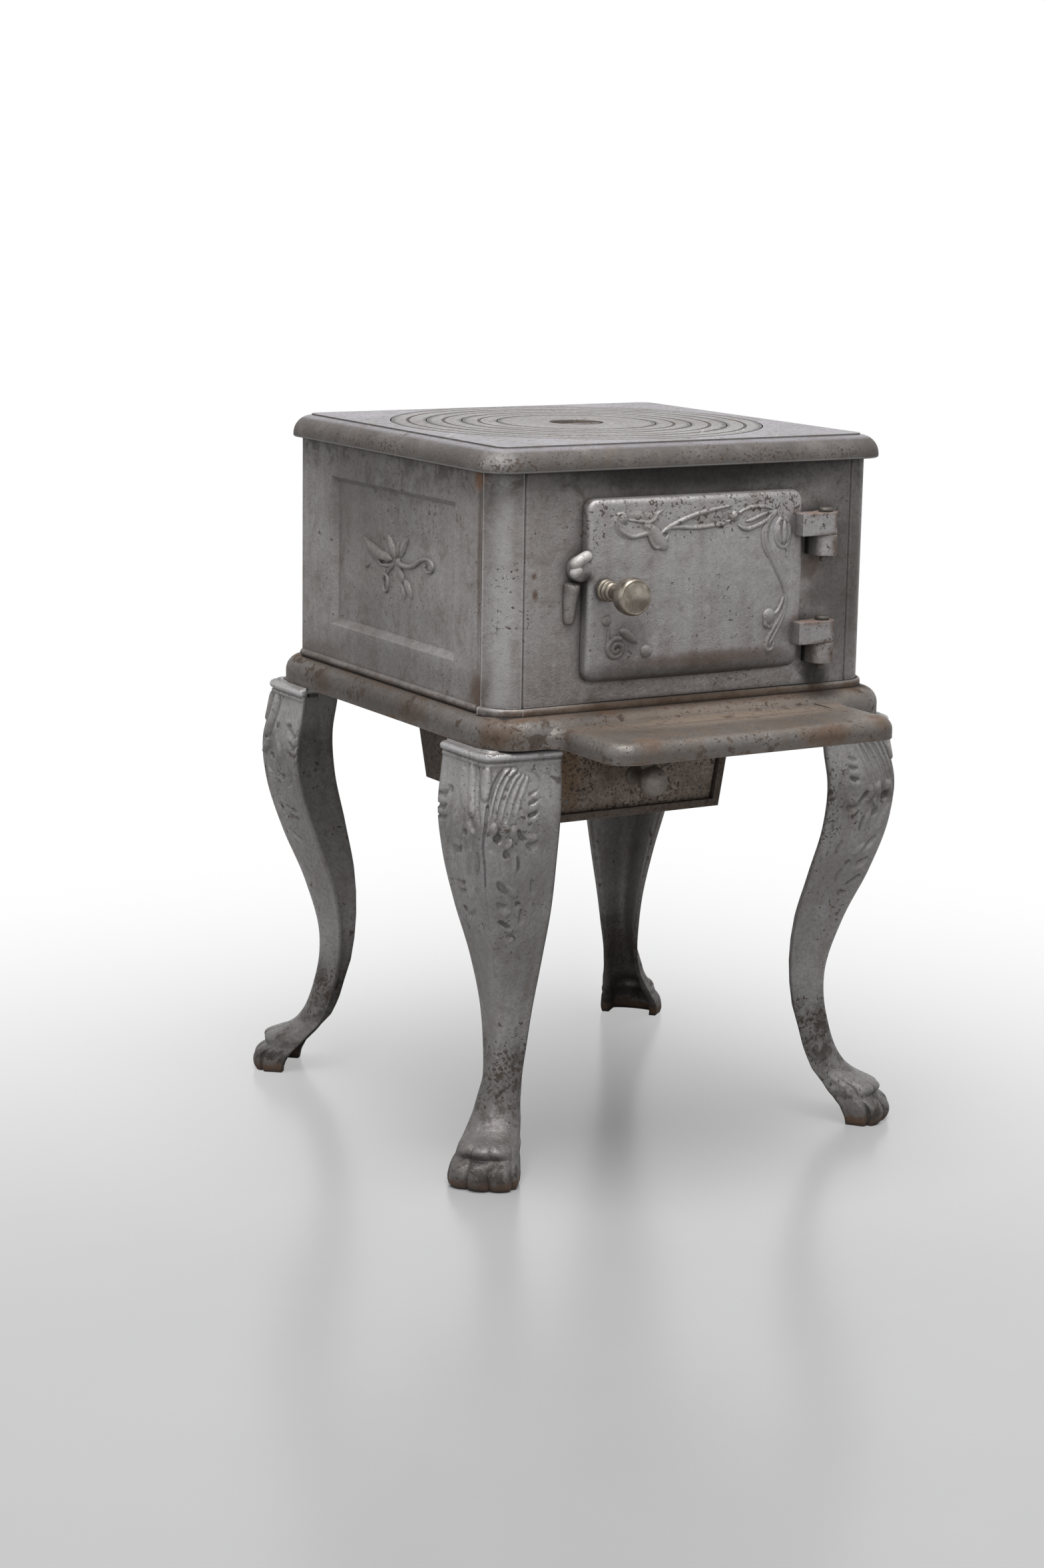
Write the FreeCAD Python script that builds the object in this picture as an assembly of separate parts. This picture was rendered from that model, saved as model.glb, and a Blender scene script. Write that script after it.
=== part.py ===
"""A small cast-iron wood cookstove: a box of bolted castings on four cabriole legs, with a hearth
plate and shelf below, an ash trough with a drawer, a hinged fire door, and a top of nested rings.

Millimetres, +Z up. The front faces -Y. Sizes are laid out from the ring centre on the floor, and the
finished pieces are then moved together so that the origin is under the middle of the whole stove.
"""
import FreeCAD, Part
import math
import os

V = FreeCAD.Vector
X, Y, Z = V(1, 0, 0), V(0, 1, 0), V(0, 0, 1)

# Clearances
RUNNING_FIT = 0.08            # hinge pin in its turning eye, radial
FIXED_FIT = 0.05              # rod, rivet or stud in its hole, radial
MOVING_GAP = 0.3              # between a moving piece and a face that it passes or rests near
SHELL_GAP = 0.5               # top's rim around the body, liner in its pocket
RING_GAP = 1.1                # radial gap around each ring of the top
DRAWER_GAP = 1.2              # drawer beside the walls of its trough

# Body: four upright castings between the hearth plate and the top
BODY_WIDTH = 340.0
BODY_FRONT = 171.0            # ring centre to the face of the front casting
BODY_REAR = 150.5             # ring centre to the back of the rear casting
BODY_HEIGHT = 180.5           # hearth plate to the underside of the top's rim
SIDE_WALL = 6.0
FRONT_WALL = 7.0
REAR_WALL = 6.0
COLUMN_RADIUS = 23.0          # quarter-round corner columns of the front casting
QUIRK_WIDTH = 2.4             # fine groove between each column and the flat of the front
QUIRK_DEPTH = 1.2
SEAM_BEAD_RADIUS = 1.4        # bead down each column where the side casting meets it
SEAM_BEAD_RISE = 0.9          # proud of the side
SEAM_BEAD_SETBACK = 0.4       # in front of the seam
SEAM_CHAMFER = 1.6            # front edge of each side casting
LAP_RIB_WIDTH = 22.0          # ribs behind the side castings, front and rear
LAP_RIB_WALL = 6.0
FOOT_LIP_HEIGHT = 6.0
FOOT_LIP_REACH = 3.5
FOOT_LIP_ROUND = 2.5

# Sunk field of each side casting
FIELD_FRONT_MARGIN = 68.5     # from the front of the body to the flat of the field
FIELD_REAR_MARGIN = 58.5
FIELD_BOTTOM_MARGIN = 38.5
FIELD_TOP_MARGIN = 31.5       # below the rim of the top
FIELD_BEVEL = 4.5
FIELD_DEPTH = 5.0

# Hearth plate with its moulded edge, and the shelf in front
LEG_HEIGHT = 335.0            # floor to the lower edge of the hearth plate
HEARTH_HEIGHT = 22.0
HEARTH_SIDE_REACH = 11.5      # beyond the body
HEARTH_FRONT_REACH = 20.0
HEARTH_REAR_REACH = 29.5
HEARTH_CORNER = 32.0
HEARTH_ROUND = 13.0           # quarter-round of the edge
HEARTH_WALL = 6.0
SHELF_SIDE_INSET = 53.5       # inside the hearth's side edges
SHELF_REACH = 82.0            # beyond the hearth's front edge
SHELF_DROP = 6.5              # below the hearth's top face
SHELF_CORNER = 19.0
SHELF_FLARE = 13.0            # hollow curve where the shelf leaves the hearth
SHELF_ROUND = 9.0
SHELF_WALL = 5.0
SHELF_PAN_FRONT = 60.0        # sunk part of the shelf's top, behind its front edge
SHELF_PAN_SIDE = 22.0         # inside its ends
SHELF_PAN_DEPTH = 1.0
ASH_HOLE_WIDTH = 132.0
ASH_HOLE_DEPTH = 150.0

# Legs: angle-section shells that bow out at the knee and end in a paw
LEG_WALL = 7.0
LEG_RIDGE_ROUND = 6.0
LEG_LIP_HEIGHT = 6.0
LEG_LIP_REACH = 3.0
LEG_SIDE_SHIFT = 6.5          # legs' square corners stand this far beyond the hearth's side edges
LEG_FRONT_SHIFT = -4.0        # and this far beyond its front edge
LEG_REAR_SHIFT = 4.0          # and its rear edge
LEG_PAD_WIDTH = 46.0
LEG_PAD_THICKNESS = 8.0
LEG_BOLT_INSET = 29.0
KNEE_BOW = 0.5                # ridge of the knee beyond the square corner, along the diagonal
KNEE_DEPTH = 44.0             # ridge to the edges of the shell, along the diagonal
KNEE_HALF_WIDTH = 47.0        # half the shell's width across the diagonal
ANKLE_BOW = -49.5
ANKLE_DEPTH = 22.0
ANKLE_HALF_WIDTH = 16.0
PAW_BOW = -19.5               # paw's middle, along the diagonal
PAW_RADIUS = 28.0
PAW_HEIGHT = 37.0
PAW_CROWN_ROUND = 9.0
TOE_TIP_RADIUS = 10.0
TOE_KNUCKLE_RADIUS = 10.0
TOE_SHANK_RADIUS = 8.5
TOE_KNUCKLE_SETBACK = 9.0     # knuckle behind its toe's tip
TOE_SOLE = 1.5                # depth of the flat worn under each toe
TOE_COUNT = 3
TOE_FAN = 104.0               # degrees between the outer toes
LEG_BOLT_RADIUS = 4.0
LEG_BOSS_RADIUS = 9.6
# Stations down a leg: height as a share of the leg's, then how far the bow, the depth and the width
# have gone from the knee's to the ankle's
LEG_STATIONS = [
    (1.0, 0.21, 0.18, 0.10),
    (0.93, 0.13, 0.10, 0.03),
    (0.85, 0.0, 0.0, 0.0),
    (0.745, 0.06, 0.0, 0.10),
    (0.62, 0.34, 0.10, 0.31),
    (0.49, 0.74, 0.46, 0.62),
    (0.35, 1.0, 0.91, 0.90),
    (0.25, 0.88, 0.95, 0.98),
    (0.16, 0.65, 0.62, 0.88),
    (0.087, 0.38, 0.8, 0.76),
]

# Ash trough under the hearth, and its drawer
TROUGH_DROP = 80.0            # below the hearth's lower edge
TROUGH_BOTTOM_WIDTH = 156.0
TROUGH_TOP_WIDTH = 183.0      # at the hearth's lower edge
TROUGH_FRONT = 102.0
TROUGH_REAR = 101.0
TROUGH_WALL = 6.0
TROUGH_FLANGE = 14.0
TROUGH_BOLT_SPREAD = 160.0
TROUGH_BOLT_RADIUS = 3.0
DRAWER_SETBACK = 4.0          # drawer front behind the trough's front edge
DRAWER_FRONT_WALL = 6.0
DRAWER_SHEET = 1.6
DRAWER_TOP_GAP = 3.0          # below the hearth's lower edge
DRAWER_TAB = 9.0
DRAWER_RIVET_RADIUS = 2.0
DRAWER_RIVET_HEAD = 3.6       # radius of a rivet's head
DRAWER_KNOB_RADIUS = 12.0
DRAWER_KNOB_LENGTH = 36.0
DRAWER_KNOB_RISE = 31.0       # above the trough's underside
DRAWER_STUD_RADIUS = 2.5
DRAWER_STUD_DEPTH = 4.2       # in the drawer's front
DRAWER_STUD_REACH = 13.5      # in the knob
# Shares of the knob's length and radius, from its foot out
DRAWER_KNOB_PROFILE = [(0.0, 0.62), (0.1, 0.55), (0.4, 0.42), (0.58, 0.6), (0.68, 0.94), (0.78, 1.0),
                       (0.88, 0.93), (0.96, 0.66), (1.0, 0.25)]

# Top plate and its rings
RIM_HEIGHT = 18.5
RIM_FRONT_REACH = 7.5         # beyond the body
RIM_SIDE_REACH = 9.0
RIM_REAR_REACH = 15.0
RIM_ROUND = 15.0
RIM_CORNER = 24.0
RIM_LIP_ROUND = 1.5
TOP_STEP = 1.2                # flat of the top above the start of its round rim
TOP_THICKNESS = 9.0
RING_OPENING_RADIUS = 149.0
LID_RADIUS = 64.0
RING_COUNT = 3
RING_SEAT = 5.0               # depth of each seat below the top face
RING_LEDGE = 7.0
GROOVE_WIDTH = 3.0
GROOVE_DEPTH = 1.3
LID_DISH_RADIUS = 22.0
LID_DISH_DEPTH = 9.0
LID_DISH_WALL = 4.5
LID_DISH_SLOPE = 3.0          # dish's floor narrower than its mouth, radial
LIFT_BAR_RADIUS = 3.0
LIFT_BAR_GRIP = 2.5           # length of the bar held in each side of the dish

# Tie rods through the body
ROD_RADIUS = 4.0
ROD_SIDE_INSET = 22.0
ROD_FRONT_INSET = 46.0
ROD_REAR_INSET = 38.0
ROD_BOSS_RADIUS = 9.0
ROD_BOSS_DROP = 10.0

# Fire door, hinge and latch
DOOR_WIDTH = 194.0
DOOR_HEIGHT = 137.0
DOOR_CENTRE_X = -1.5
DOOR_RISE = 22.5              # door's lower edge above the hearth plate
DOOR_CORNER = 9.0
DOOR_CROWN = 17.0             # thickness at the middle of the pillow
DOOR_CAMBER = 9.0             # fall of the pillow from its middle to a corner
DOOR_EDGE_ROUND = 4.5
DOOR_WALL = 7.0
DOOR_LAP = 13.0               # door beyond the opening on every side
DOOR_BORDER = 18.0            # solid border around the hollow back
LINER_SHEET = 2.5
LINER_SCREW_RADIUS = 2.0
LINER_BOSS_RADIUS = 6.0
LINER_HEAD_RADIUS = 4.0
LINER_SCREW_BITE = 4.0        # screw in the door, past the liner
HINGE_OFFSET = 18.5           # pin beyond the door's edge
HINGE_STANDOFF = 13.0         # pin before the front casting
HINGE_EYE_RADIUS = 9.5
HINGE_ARM_HEIGHT = 17.0
HINGE_ARM_BACK = 5.0          # arm behind the pin's axis; its face is flush with the eye's
HINGE_LUG_HEIGHT = 16.0
HINGE_ARM_LAP = 9.0           # arm over the door's face
LOWER_ARM_RISE = 18.5         # above the door's lower edge
UPPER_ARM_RISE = 102.5
PIN_RADIUS = 3.5
PIN_HEAD_RADIUS = 5.5
PIN_HEAD_HEIGHT = 3.0
PIN_TAIL = 5.0
EAR_RADIUS = 9.5
EAR_RISE = 85.5
EAR_REACH = 4.0               # ear's middle beyond the door's edge
EAR_THICKNESS = 11.0
EAR_ROUND = 5.0
KEEPER_WIDTH = 13.5
KEEPER_HEIGHT = 32.0
KEEPER_REACH = 11.0
KEEPER_ROUND = 4.0
KEEPER_OFFSET = 3.0           # keeper's outer side beyond the ear's
KEEPER_SHANK_RADIUS = 3.0
KEEPER_HEAD_RADIUS = 5.0
KEEPER_HEAD_HEIGHT = 2.5
KNOB_INSET = 12.2             # knob's axis inside the door's edge
KNOB_RISE = 70.3
KNOB_LENGTH = 47.0
KNOB_DISC_RADIUS = 14.0
KNOB_NECK_RADIUS = 5.5
KNOB_COLLAR_RADIUS = 8.5
KNOB_COLLAR_LENGTH = 15.0
KNOB_STUD_RADIUS = 3.0
KNOB_STUD_DEPTH = 6.0         # in the door
KNOB_STUD_REACH = 31.0        # in the knob
KNOB_SEAT = 1.3               # collar's flat back before the middle of its place on the curved face
# Shares of the collar's length and radius, then of the knob's own length and radius, from the door out
KNOB_COLLAR_PROFILE = [(0.18, 1.0), (0.34, 0.95), (0.42, 0.75), (0.6, 0.72), (0.66, 0.95), (0.86, 0.95)]
KNOB_FOOT_SHARE = 0.9         # of the collar's radius, at its flat back
KNOB_NECK_PROFILE = [(0.0, 1.0), (0.35, 0.86), (0.52, 1.25)]
KNOB_DISC_PROFILE = [(0.66, 0.8), (0.74, 0.97), (0.82, 1.0), (0.9, 0.93), (0.96, 0.7), (1.0, 0.3)]

# Grate
GRATE_LAP = 9.0               # grate beyond the ash hole on every side
GRATE_THICKNESS = 12.0
GRATE_SLOT = 9.0
GRATE_BAR = 10.0
GRATE_FRAME = 14.0
GRATE_KERB = 6.0              # low kerb that keeps the grate in place

# Flue outlet
FLUE_BORE_RADIUS = 50.5
FLUE_WALL = 5.0
FLUE_LENGTH = 40.0
FLUE_STOP = 4.0               # ledge that a pipe comes to rest on at the inner end
FLUE_RISE = 104.0             # axis above the hearth plate
FLUE_FLANGE_RADIUS = 70.0
FLUE_FLANGE_WALL = 6.0
FLUE_BOLT_CIRCLE = 63.0
FLUE_BOLT_COUNT = 4
FLUE_BOLT_RADIUS = 3.0

# Places that follow from the sizes above
HALF_BODY = BODY_WIDTH / 2
HEARTH_HALF_WIDTH = HALF_BODY + HEARTH_SIDE_REACH
HEARTH_FRONT = BODY_FRONT + HEARTH_FRONT_REACH
HEARTH_REAR = BODY_REAR + HEARTH_REAR_REACH
SHELF_HALF_WIDTH = HEARTH_HALF_WIDTH - SHELF_SIDE_INSET
HEARTH_TOP = LEG_HEIGHT + HEARTH_HEIGHT
HEARTH_UNDER = HEARTH_TOP - HEARTH_WALL
RIM_UNDER = HEARTH_TOP + BODY_HEIGHT
TOP_FACE = RIM_UNDER + RIM_HEIGHT
TOP_UNDER = TOP_FACE - TOP_THICKNESS
SEAT_Z = TOP_FACE - RING_SEAT
SEAM_Y = -BODY_FRONT + COLUMN_RADIUS
REAR_INNER_Y = BODY_REAR - REAR_WALL
DOOR_BACK_Y = -BODY_FRONT - MOVING_GAP
DOOR_BOTTOM = HEARTH_TOP + DOOR_RISE
DOOR_MIDDLE = V(DOOR_CENTRE_X, DOOR_BACK_Y, DOOR_BOTTOM + DOOR_HEIGHT / 2)
DOOR_LEFT = DOOR_CENTRE_X - DOOR_WIDTH / 2
DOOR_RIGHT = DOOR_CENTRE_X + DOOR_WIDTH / 2
HINGE_X = DOOR_RIGHT + HINGE_OFFSET
HINGE_Y = -BODY_FRONT - HINGE_STANDOFF
TROUGH_BOTTOM = LEG_HEIGHT - TROUGH_DROP
ROD_X = HALF_BODY - ROD_SIDE_INSET
ROD_PLACES = [(x, y) for y in (-BODY_FRONT + ROD_FRONT_INSET, BODY_REAR - ROD_REAR_INSET)
              for x in (-ROD_X, ROD_X)]
CUT = 1.0                     # extra length of a cutting tool past a face
NUT_HEIGHT_RATIO = 1.6        # height of a nut or bolt head, in shank radii
NUT_WIDTH_RATIO = 3.4         # width across its flats, in shank radii


def block(x0, x1, y0, y1, z0, z1):
    """A box between three pairs of limits."""
    return Part.makeBox(x1 - x0, y1 - y0, z1 - z0, V(x0, y0, z0))


def rod(radius, start, end):
    """A round bar from one point to another."""
    along = end - start
    return Part.makeCylinder(radius, along.Length, start, along)


def hexagon(radius, start, along):
    """A nut or bolt head for a shank of this radius, standing on a point."""
    across_corners = NUT_WIDTH_RATIO * radius / math.sqrt(3)
    side, up = (X, Y) if along.z else (X, Z)
    points = []
    for corner in range(7):
        turn = math.radians(60 * corner)
        points.append(start + (side * math.cos(turn) + up * math.sin(turn)) * across_corners)
    height = NUT_HEIGHT_RATIO * radius
    return Part.Face(Part.makePolygon(points)).extrude(along * height)


def rounded_face(x0, x1, y0, y1, front_radius, rear_radius, z):
    """A rectangle in plan with round corners: one radius at y0, one at y1."""
    f, r = front_radius, rear_radius
    bend = 1 - math.sqrt(0.5)
    corners = [
        (V(x0, y0 + f, z), V(x0 + f * bend, y0 + f * bend, z), V(x0 + f, y0, z)),
        (V(x1 - f, y0, z), V(x1 - f * bend, y0 + f * bend, z), V(x1, y0 + f, z)),
        (V(x1, y1 - r, z), V(x1 - r * bend, y1 - r * bend, z), V(x1 - r, y1, z)),
        (V(x0 + r, y1, z), V(x0 + r * bend, y1 - r * bend, z), V(x0, y1 - r, z)),
    ]
    edges = []
    for number, (start, middle, end) in enumerate(corners):
        edges.append(Part.Arc(start, middle, end).toShape())
        edges.append(Part.LineSegment(end, corners[(number + 1) % 4][0]).toShape())
    return Part.Face(Part.Wire(edges))


def rounded_slab(x0, x1, y0, y1, front_radius, rear_radius, z0, z1):
    """A slab with round corners in plan."""
    return rounded_face(x0, x1, y0, y1, front_radius, rear_radius, z0).extrude(Z * (z1 - z0))


def edges_at(shape, height):
    """The edges of a shape that lie wholly at one height."""
    tolerance = 1e-4
    return [e for e in shape.Edges
            if abs(e.BoundBox.ZMin - height) < tolerance and abs(e.BoundBox.ZMax - height) < tolerance]


def turned(profile, axis_point, axis):
    """A turned solid from (distance along the axis, radius) pairs, closed on its axis."""
    side = Z if abs(axis.z) < 0.5 else X
    points = [axis_point + axis * along + side * radius for along, radius in profile]
    points = [axis_point + axis * profile[0][0]] + points + [axis_point + axis * profile[-1][0]]
    clean = [points[0]]
    for point in points[1:] + [points[0]]:
        if (point - clean[-1]).Length > 1e-6:
            clean.append(point)
    return Part.Face(Part.makePolygon(clean)).revolve(axis_point, axis, 360)


def joined(first, *others):
    """Solids cast as one."""
    return first.multiFuse(list(others)).removeSplitter()


def mirrored(shape):
    """The same piece on the other side of the stove."""
    return shape.mirror(V(0, 0, 0), X)


def hearth_plate():
    """A plate with a skirt and a quarter-round edge, and the hollow shelf in front of the door."""
    def shell(inset, z0, z1, rounding):
        slab = rounded_slab(-HEARTH_HALF_WIDTH + inset, HEARTH_HALF_WIDTH - inset,
                            -HEARTH_FRONT + inset, HEARTH_REAR - inset,
                            HEARTH_CORNER - inset, HEARTH_CORNER - inset, z0, z1)
        return slab.makeFillet(rounding, edges_at(slab, z1))

    outside = shell(0, LEG_HEIGHT, HEARTH_TOP, HEARTH_ROUND)
    hollow = shell(HEARTH_WALL, LEG_HEIGHT - CUT, HEARTH_UNDER, HEARTH_ROUND - HEARTH_WALL)
    shelf = hearth_shelf(0, LEG_HEIGHT, HEARTH_TOP - SHELF_DROP, SHELF_ROUND)
    shelf_hollow = hearth_shelf(SHELF_WALL, LEG_HEIGHT - CUT, HEARTH_TOP - SHELF_DROP - SHELF_WALL,
                                SHELF_ROUND - SHELF_WALL)
    pan_half, pan_rear = SHELF_HALF_WIDTH - SHELF_PAN_SIDE, -HEARTH_FRONT + HEARTH_ROUND
    pan = block(-pan_half, pan_half, -HEARTH_FRONT - SHELF_REACH + SHELF_PAN_FRONT, pan_rear + CUT,
                HEARTH_TOP - SHELF_DROP - SHELF_PAN_DEPTH, HEARTH_TOP)
    shelf = shelf.cut(Part.makeCompound([shelf_hollow, pan])).cut(hollow)
    plate = joined(outside.cut(hollow), shelf)
    bosses = [rod(LEG_BOSS_RADIUS, V(x, y, LEG_HEIGHT), V(x, y, HEARTH_UNDER)) for x, y in leg_bolt_places()]
    kerb_x = ASH_HOLE_WIDTH / 2 + GRATE_LAP + MOVING_GAP
    kerb_y = ASH_HOLE_DEPTH / 2 + GRATE_LAP + MOVING_GAP
    kerb = block(-kerb_x - GRATE_KERB, kerb_x + GRATE_KERB, -kerb_y - GRATE_KERB, kerb_y + GRATE_KERB,
                 HEARTH_TOP, HEARTH_TOP + GRATE_KERB)
    kerb = kerb.cut(block(-kerb_x, kerb_x, -kerb_y, kerb_y, HEARTH_TOP - CUT, HEARTH_TOP + GRATE_KERB + CUT))
    plate = joined(plate, kerb, *bosses)
    holes = [block(-ASH_HOLE_WIDTH / 2, ASH_HOLE_WIDTH / 2, -ASH_HOLE_DEPTH / 2, ASH_HOLE_DEPTH / 2,
                   HEARTH_UNDER - CUT, HEARTH_TOP + CUT)]
    holes += [rod(LEG_BOLT_RADIUS + FIXED_FIT, V(x, y, LEG_HEIGHT - CUT),
                  V(x, y, HEARTH_UNDER + HEARTH_WALL / 2)) for x, y in leg_bolt_places()]
    holes += [rod(ROD_RADIUS + FIXED_FIT, V(x, y, HEARTH_UNDER - CUT), V(x, y, HEARTH_TOP + CUT))
              for x, y in ROD_PLACES]
    holes += [rod(TROUGH_BOLT_RADIUS + FIXED_FIT, V(x, y, HEARTH_UNDER - CUT), V(x, y, HEARTH_TOP + CUT))
              for x, y in trough_bolt_places()]
    return plate.cut(Part.makeCompound(holes))


def hearth_shelf(inset, z0, z1, rounding):
    """The shelf as one block: round front corners, and hollow curves into the hearth's front edge."""
    root = -HEARTH_FRONT + HEARTH_ROUND
    neck = -HEARTH_FRONT - SHELF_FLARE
    front = -HEARTH_FRONT - SHELF_REACH + inset
    half = SHELF_HALF_WIDTH - inset
    flare = SHELF_FLARE
    corner = SHELF_CORNER - inset
    bend = 1 - math.sqrt(0.5)
    right = [
        (V(half, neck, z0), V(half, front + corner, z0), None),
        (V(half, front + corner, z0), V(half - corner, front, z0),
         V(half - corner * bend, front + corner * bend, z0)),
    ]
    edges = []
    for start, end, middle in right:
        for side in (1, -1):
            a, b = V(side * start.x, start.y, z0), V(side * end.x, end.y, z0)
            if middle:
                edges.append(Part.Arc(a, V(side * middle.x, middle.y, z0), b).toShape())
            else:
                edges.append(Part.LineSegment(a, b).toShape())
    for side in (1, -1):
        outer, rear = V(side * (half + flare), -HEARTH_FRONT, z0), V(side * (half + flare), root, z0)
        middle = V(side * (half + flare * bend), -HEARTH_FRONT - flare * bend, z0)
        edges.append(Part.Arc(V(side * half, neck, z0), middle, outer).toShape())
        edges.append(Part.LineSegment(outer, rear).toShape())
    edges.append(Part.LineSegment(V(half + flare, root, z0), V(-half - flare, root, z0)).toShape())
    edges.append(Part.LineSegment(V(half - corner, front, z0), V(corner - half, front, z0)).toShape())
    slab = Part.Face(Part.Wire(Part.__sortEdges__(edges))).extrude(Z * (z1 - z0))
    round_edges = [e for e in edges_at(slab, z1) if e.BoundBox.YMax < root - CUT]
    return slab.makeFillet(rounding, round_edges)


def leg_corners():
    """The four square corners that the legs stand at."""
    half_width = HEARTH_HALF_WIDTH + LEG_SIDE_SHIFT
    front, rear = -HEARTH_FRONT - LEG_FRONT_SHIFT, HEARTH_REAR + LEG_REAR_SHIFT
    return {"front_left": V(-half_width, front, 0), "front_right": V(half_width, front, 0),
            "rear_left": V(-half_width, rear, 0), "rear_right": V(half_width, rear, 0)}


def leg_bolt_places():
    """Plan places of the bolts that hold the legs."""
    return [(corner.x - math.copysign(LEG_BOLT_INSET, corner.x),
             corner.y - math.copysign(LEG_BOLT_INSET, corner.y)) for corner in leg_corners().values()]


def angle_section(bow, depth, half_width, wall, z):
    """A folded wall in plan: its ridge 'bow' beyond the square corner, its edges back along the diagonal."""
    slope = math.atan2(half_width, depth)
    length = math.hypot(depth, half_width)
    outer_round, inner_round = LEG_RIDGE_ROUND, LEG_RIDGE_ROUND / 2

    def at(back, across):
        u, v = (bow - back) / math.sqrt(2), across / math.sqrt(2)
        return V(u + v, v - u, z)

    def along(start, distance, side):
        return at(start + distance * math.cos(slope), side * distance * math.sin(slope))

    def bend(start, radius):
        """Ends and middle of the rounded fold of a wall face that starts at 'start' on the diagonal."""
        run = radius / math.tan(slope)
        return along(start, run, 1), at(start + radius / math.sin(slope) - radius, 0), along(start, run, -1)

    inner_start = wall / math.sin(slope)
    inner_length = length - wall / math.tan(slope)
    left, middle, right = bend(0, outer_round)
    inner_left, inner_middle, inner_right = bend(inner_start, inner_round)
    edge_left, edge_right = along(0, length, 1), along(0, length, -1)
    inside_left, inside_right = along(inner_start, inner_length, 1), along(inner_start, inner_length, -1)
    return Part.Wire([
        Part.LineSegment(left, edge_left).toShape(),
        Part.LineSegment(edge_left, inside_left).toShape(),
        Part.LineSegment(inside_left, inner_left).toShape(),
        Part.Arc(inner_left, inner_middle, inner_right).toShape(),
        Part.LineSegment(inner_right, inside_right).toShape(),
        Part.LineSegment(inside_right, edge_right).toShape(),
        Part.LineSegment(edge_right, right).toShape(),
        Part.Arc(right, middle, left).toShape(),
    ])


def leg_station(height_share, bow_share, depth_share, width_share):
    """Height, bow, depth and half width of the shell at one station."""
    return (height_share * LEG_HEIGHT, KNEE_BOW + bow_share * (ANKLE_BOW - KNEE_BOW),
            KNEE_DEPTH + depth_share * (ANKLE_DEPTH - KNEE_DEPTH),
            KNEE_HALF_WIDTH + width_share * (ANKLE_HALF_WIDTH - KNEE_HALF_WIDTH))


def leg():
    """The front right leg, its square corner at the plan origin, standing on the floor."""
    sections = []
    for station in LEG_STATIONS:
        z, bow, depth, half_width = leg_station(*station)
        sections.append(angle_section(bow, depth, half_width, LEG_WALL, z))
    shell = Part.makeLoft(sections, True, False)
    top_z, bow, depth, half_width = leg_station(*LEG_STATIONS[0])
    lip_plan = angle_section(bow + LEG_LIP_REACH * math.sqrt(2), depth + LEG_LIP_REACH,
                             half_width + LEG_LIP_REACH, LEG_WALL + LEG_LIP_REACH, top_z - LEG_LIP_HEIGHT)
    lip = Part.Face(lip_plan).extrude(Z * LEG_LIP_HEIGHT)
    out = bow / math.sqrt(2)
    pad = block(out - LEG_PAD_WIDTH, out - LEG_WALL / 2, LEG_WALL / 2 - out, LEG_PAD_WIDTH - out,
                top_z - LEG_PAD_THICKNESS, top_z)
    bolt = V(-LEG_BOLT_INSET, LEG_BOLT_INSET, top_z)
    hole = rod(LEG_BOLT_RADIUS + FIXED_FIT, bolt - Z * (LEG_PAD_THICKNESS + CUT), bolt + Z * CUT)
    return joined(shell, lip, pad, paw()).cut(hole)


def paw():
    """A paw with two-jointed toes fanned about the diagonal, flat under the sole."""
    middle = V(PAW_BOW / math.sqrt(2), -PAW_BOW / math.sqrt(2), 0)
    core_radius = PAW_RADIUS - TOE_TIP_RADIUS
    core = Part.makeCylinder(core_radius, PAW_HEIGHT, middle)
    core = core.makeFillet(PAW_CROWN_ROUND, edges_at(core, PAW_HEIGHT))
    pieces = []
    for toe in range(TOE_COUNT):
        turn = math.radians(-45 - TOE_FAN / 2 + TOE_FAN * toe / (TOE_COUNT - 1))
        out = V(math.cos(turn), math.sin(turn), 0)
        tip = middle + out * core_radius + Z * (TOE_TIP_RADIUS - TOE_SOLE)
        knuckle = middle + out * (core_radius - TOE_KNUCKLE_SETBACK) + Z * (PAW_HEIGHT - TOE_KNUCKLE_RADIUS)
        pieces.append(Part.makeSphere(TOE_TIP_RADIUS, tip))
        pieces.append(Part.makeSphere(TOE_KNUCKLE_RADIUS, knuckle))
        pieces.append(rod(TOE_SHANK_RADIUS, tip, knuckle))
    floor = block(-2 * PAW_RADIUS, 2 * PAW_RADIUS, -2 * PAW_RADIUS, 2 * PAW_RADIUS, -2 * TOE_TIP_RADIUS, 0)
    floor.translate(middle)
    return joined(core, *pieces).cut(floor)


def legs():
    """The four legs, each from the same pattern."""
    pattern = leg()
    placed = {}
    for name, corner in leg_corners().items():
        copy = pattern.copy()
        if corner.y > 0:
            copy = copy.mirror(V(0, 0, 0), Y)
        if corner.x < 0:
            copy = copy.mirror(V(0, 0, 0), X)
        copy.translate(corner)
        placed["leg_" + name] = copy
    return placed


def leg_bolts():
    """Bolts up through the pads of the legs into bosses under the hearth plate."""
    under = LEG_HEIGHT - LEG_PAD_THICKNESS
    bolts = []
    for x, y in leg_bolt_places():
        head = hexagon(LEG_BOLT_RADIUS, V(x, y, under), Z * -1)
        bolts.append(joined(head, rod(LEG_BOLT_RADIUS, V(x, y, under), V(x, y, HEARTH_UNDER))))
    return Part.makeCompound(bolts)


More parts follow.
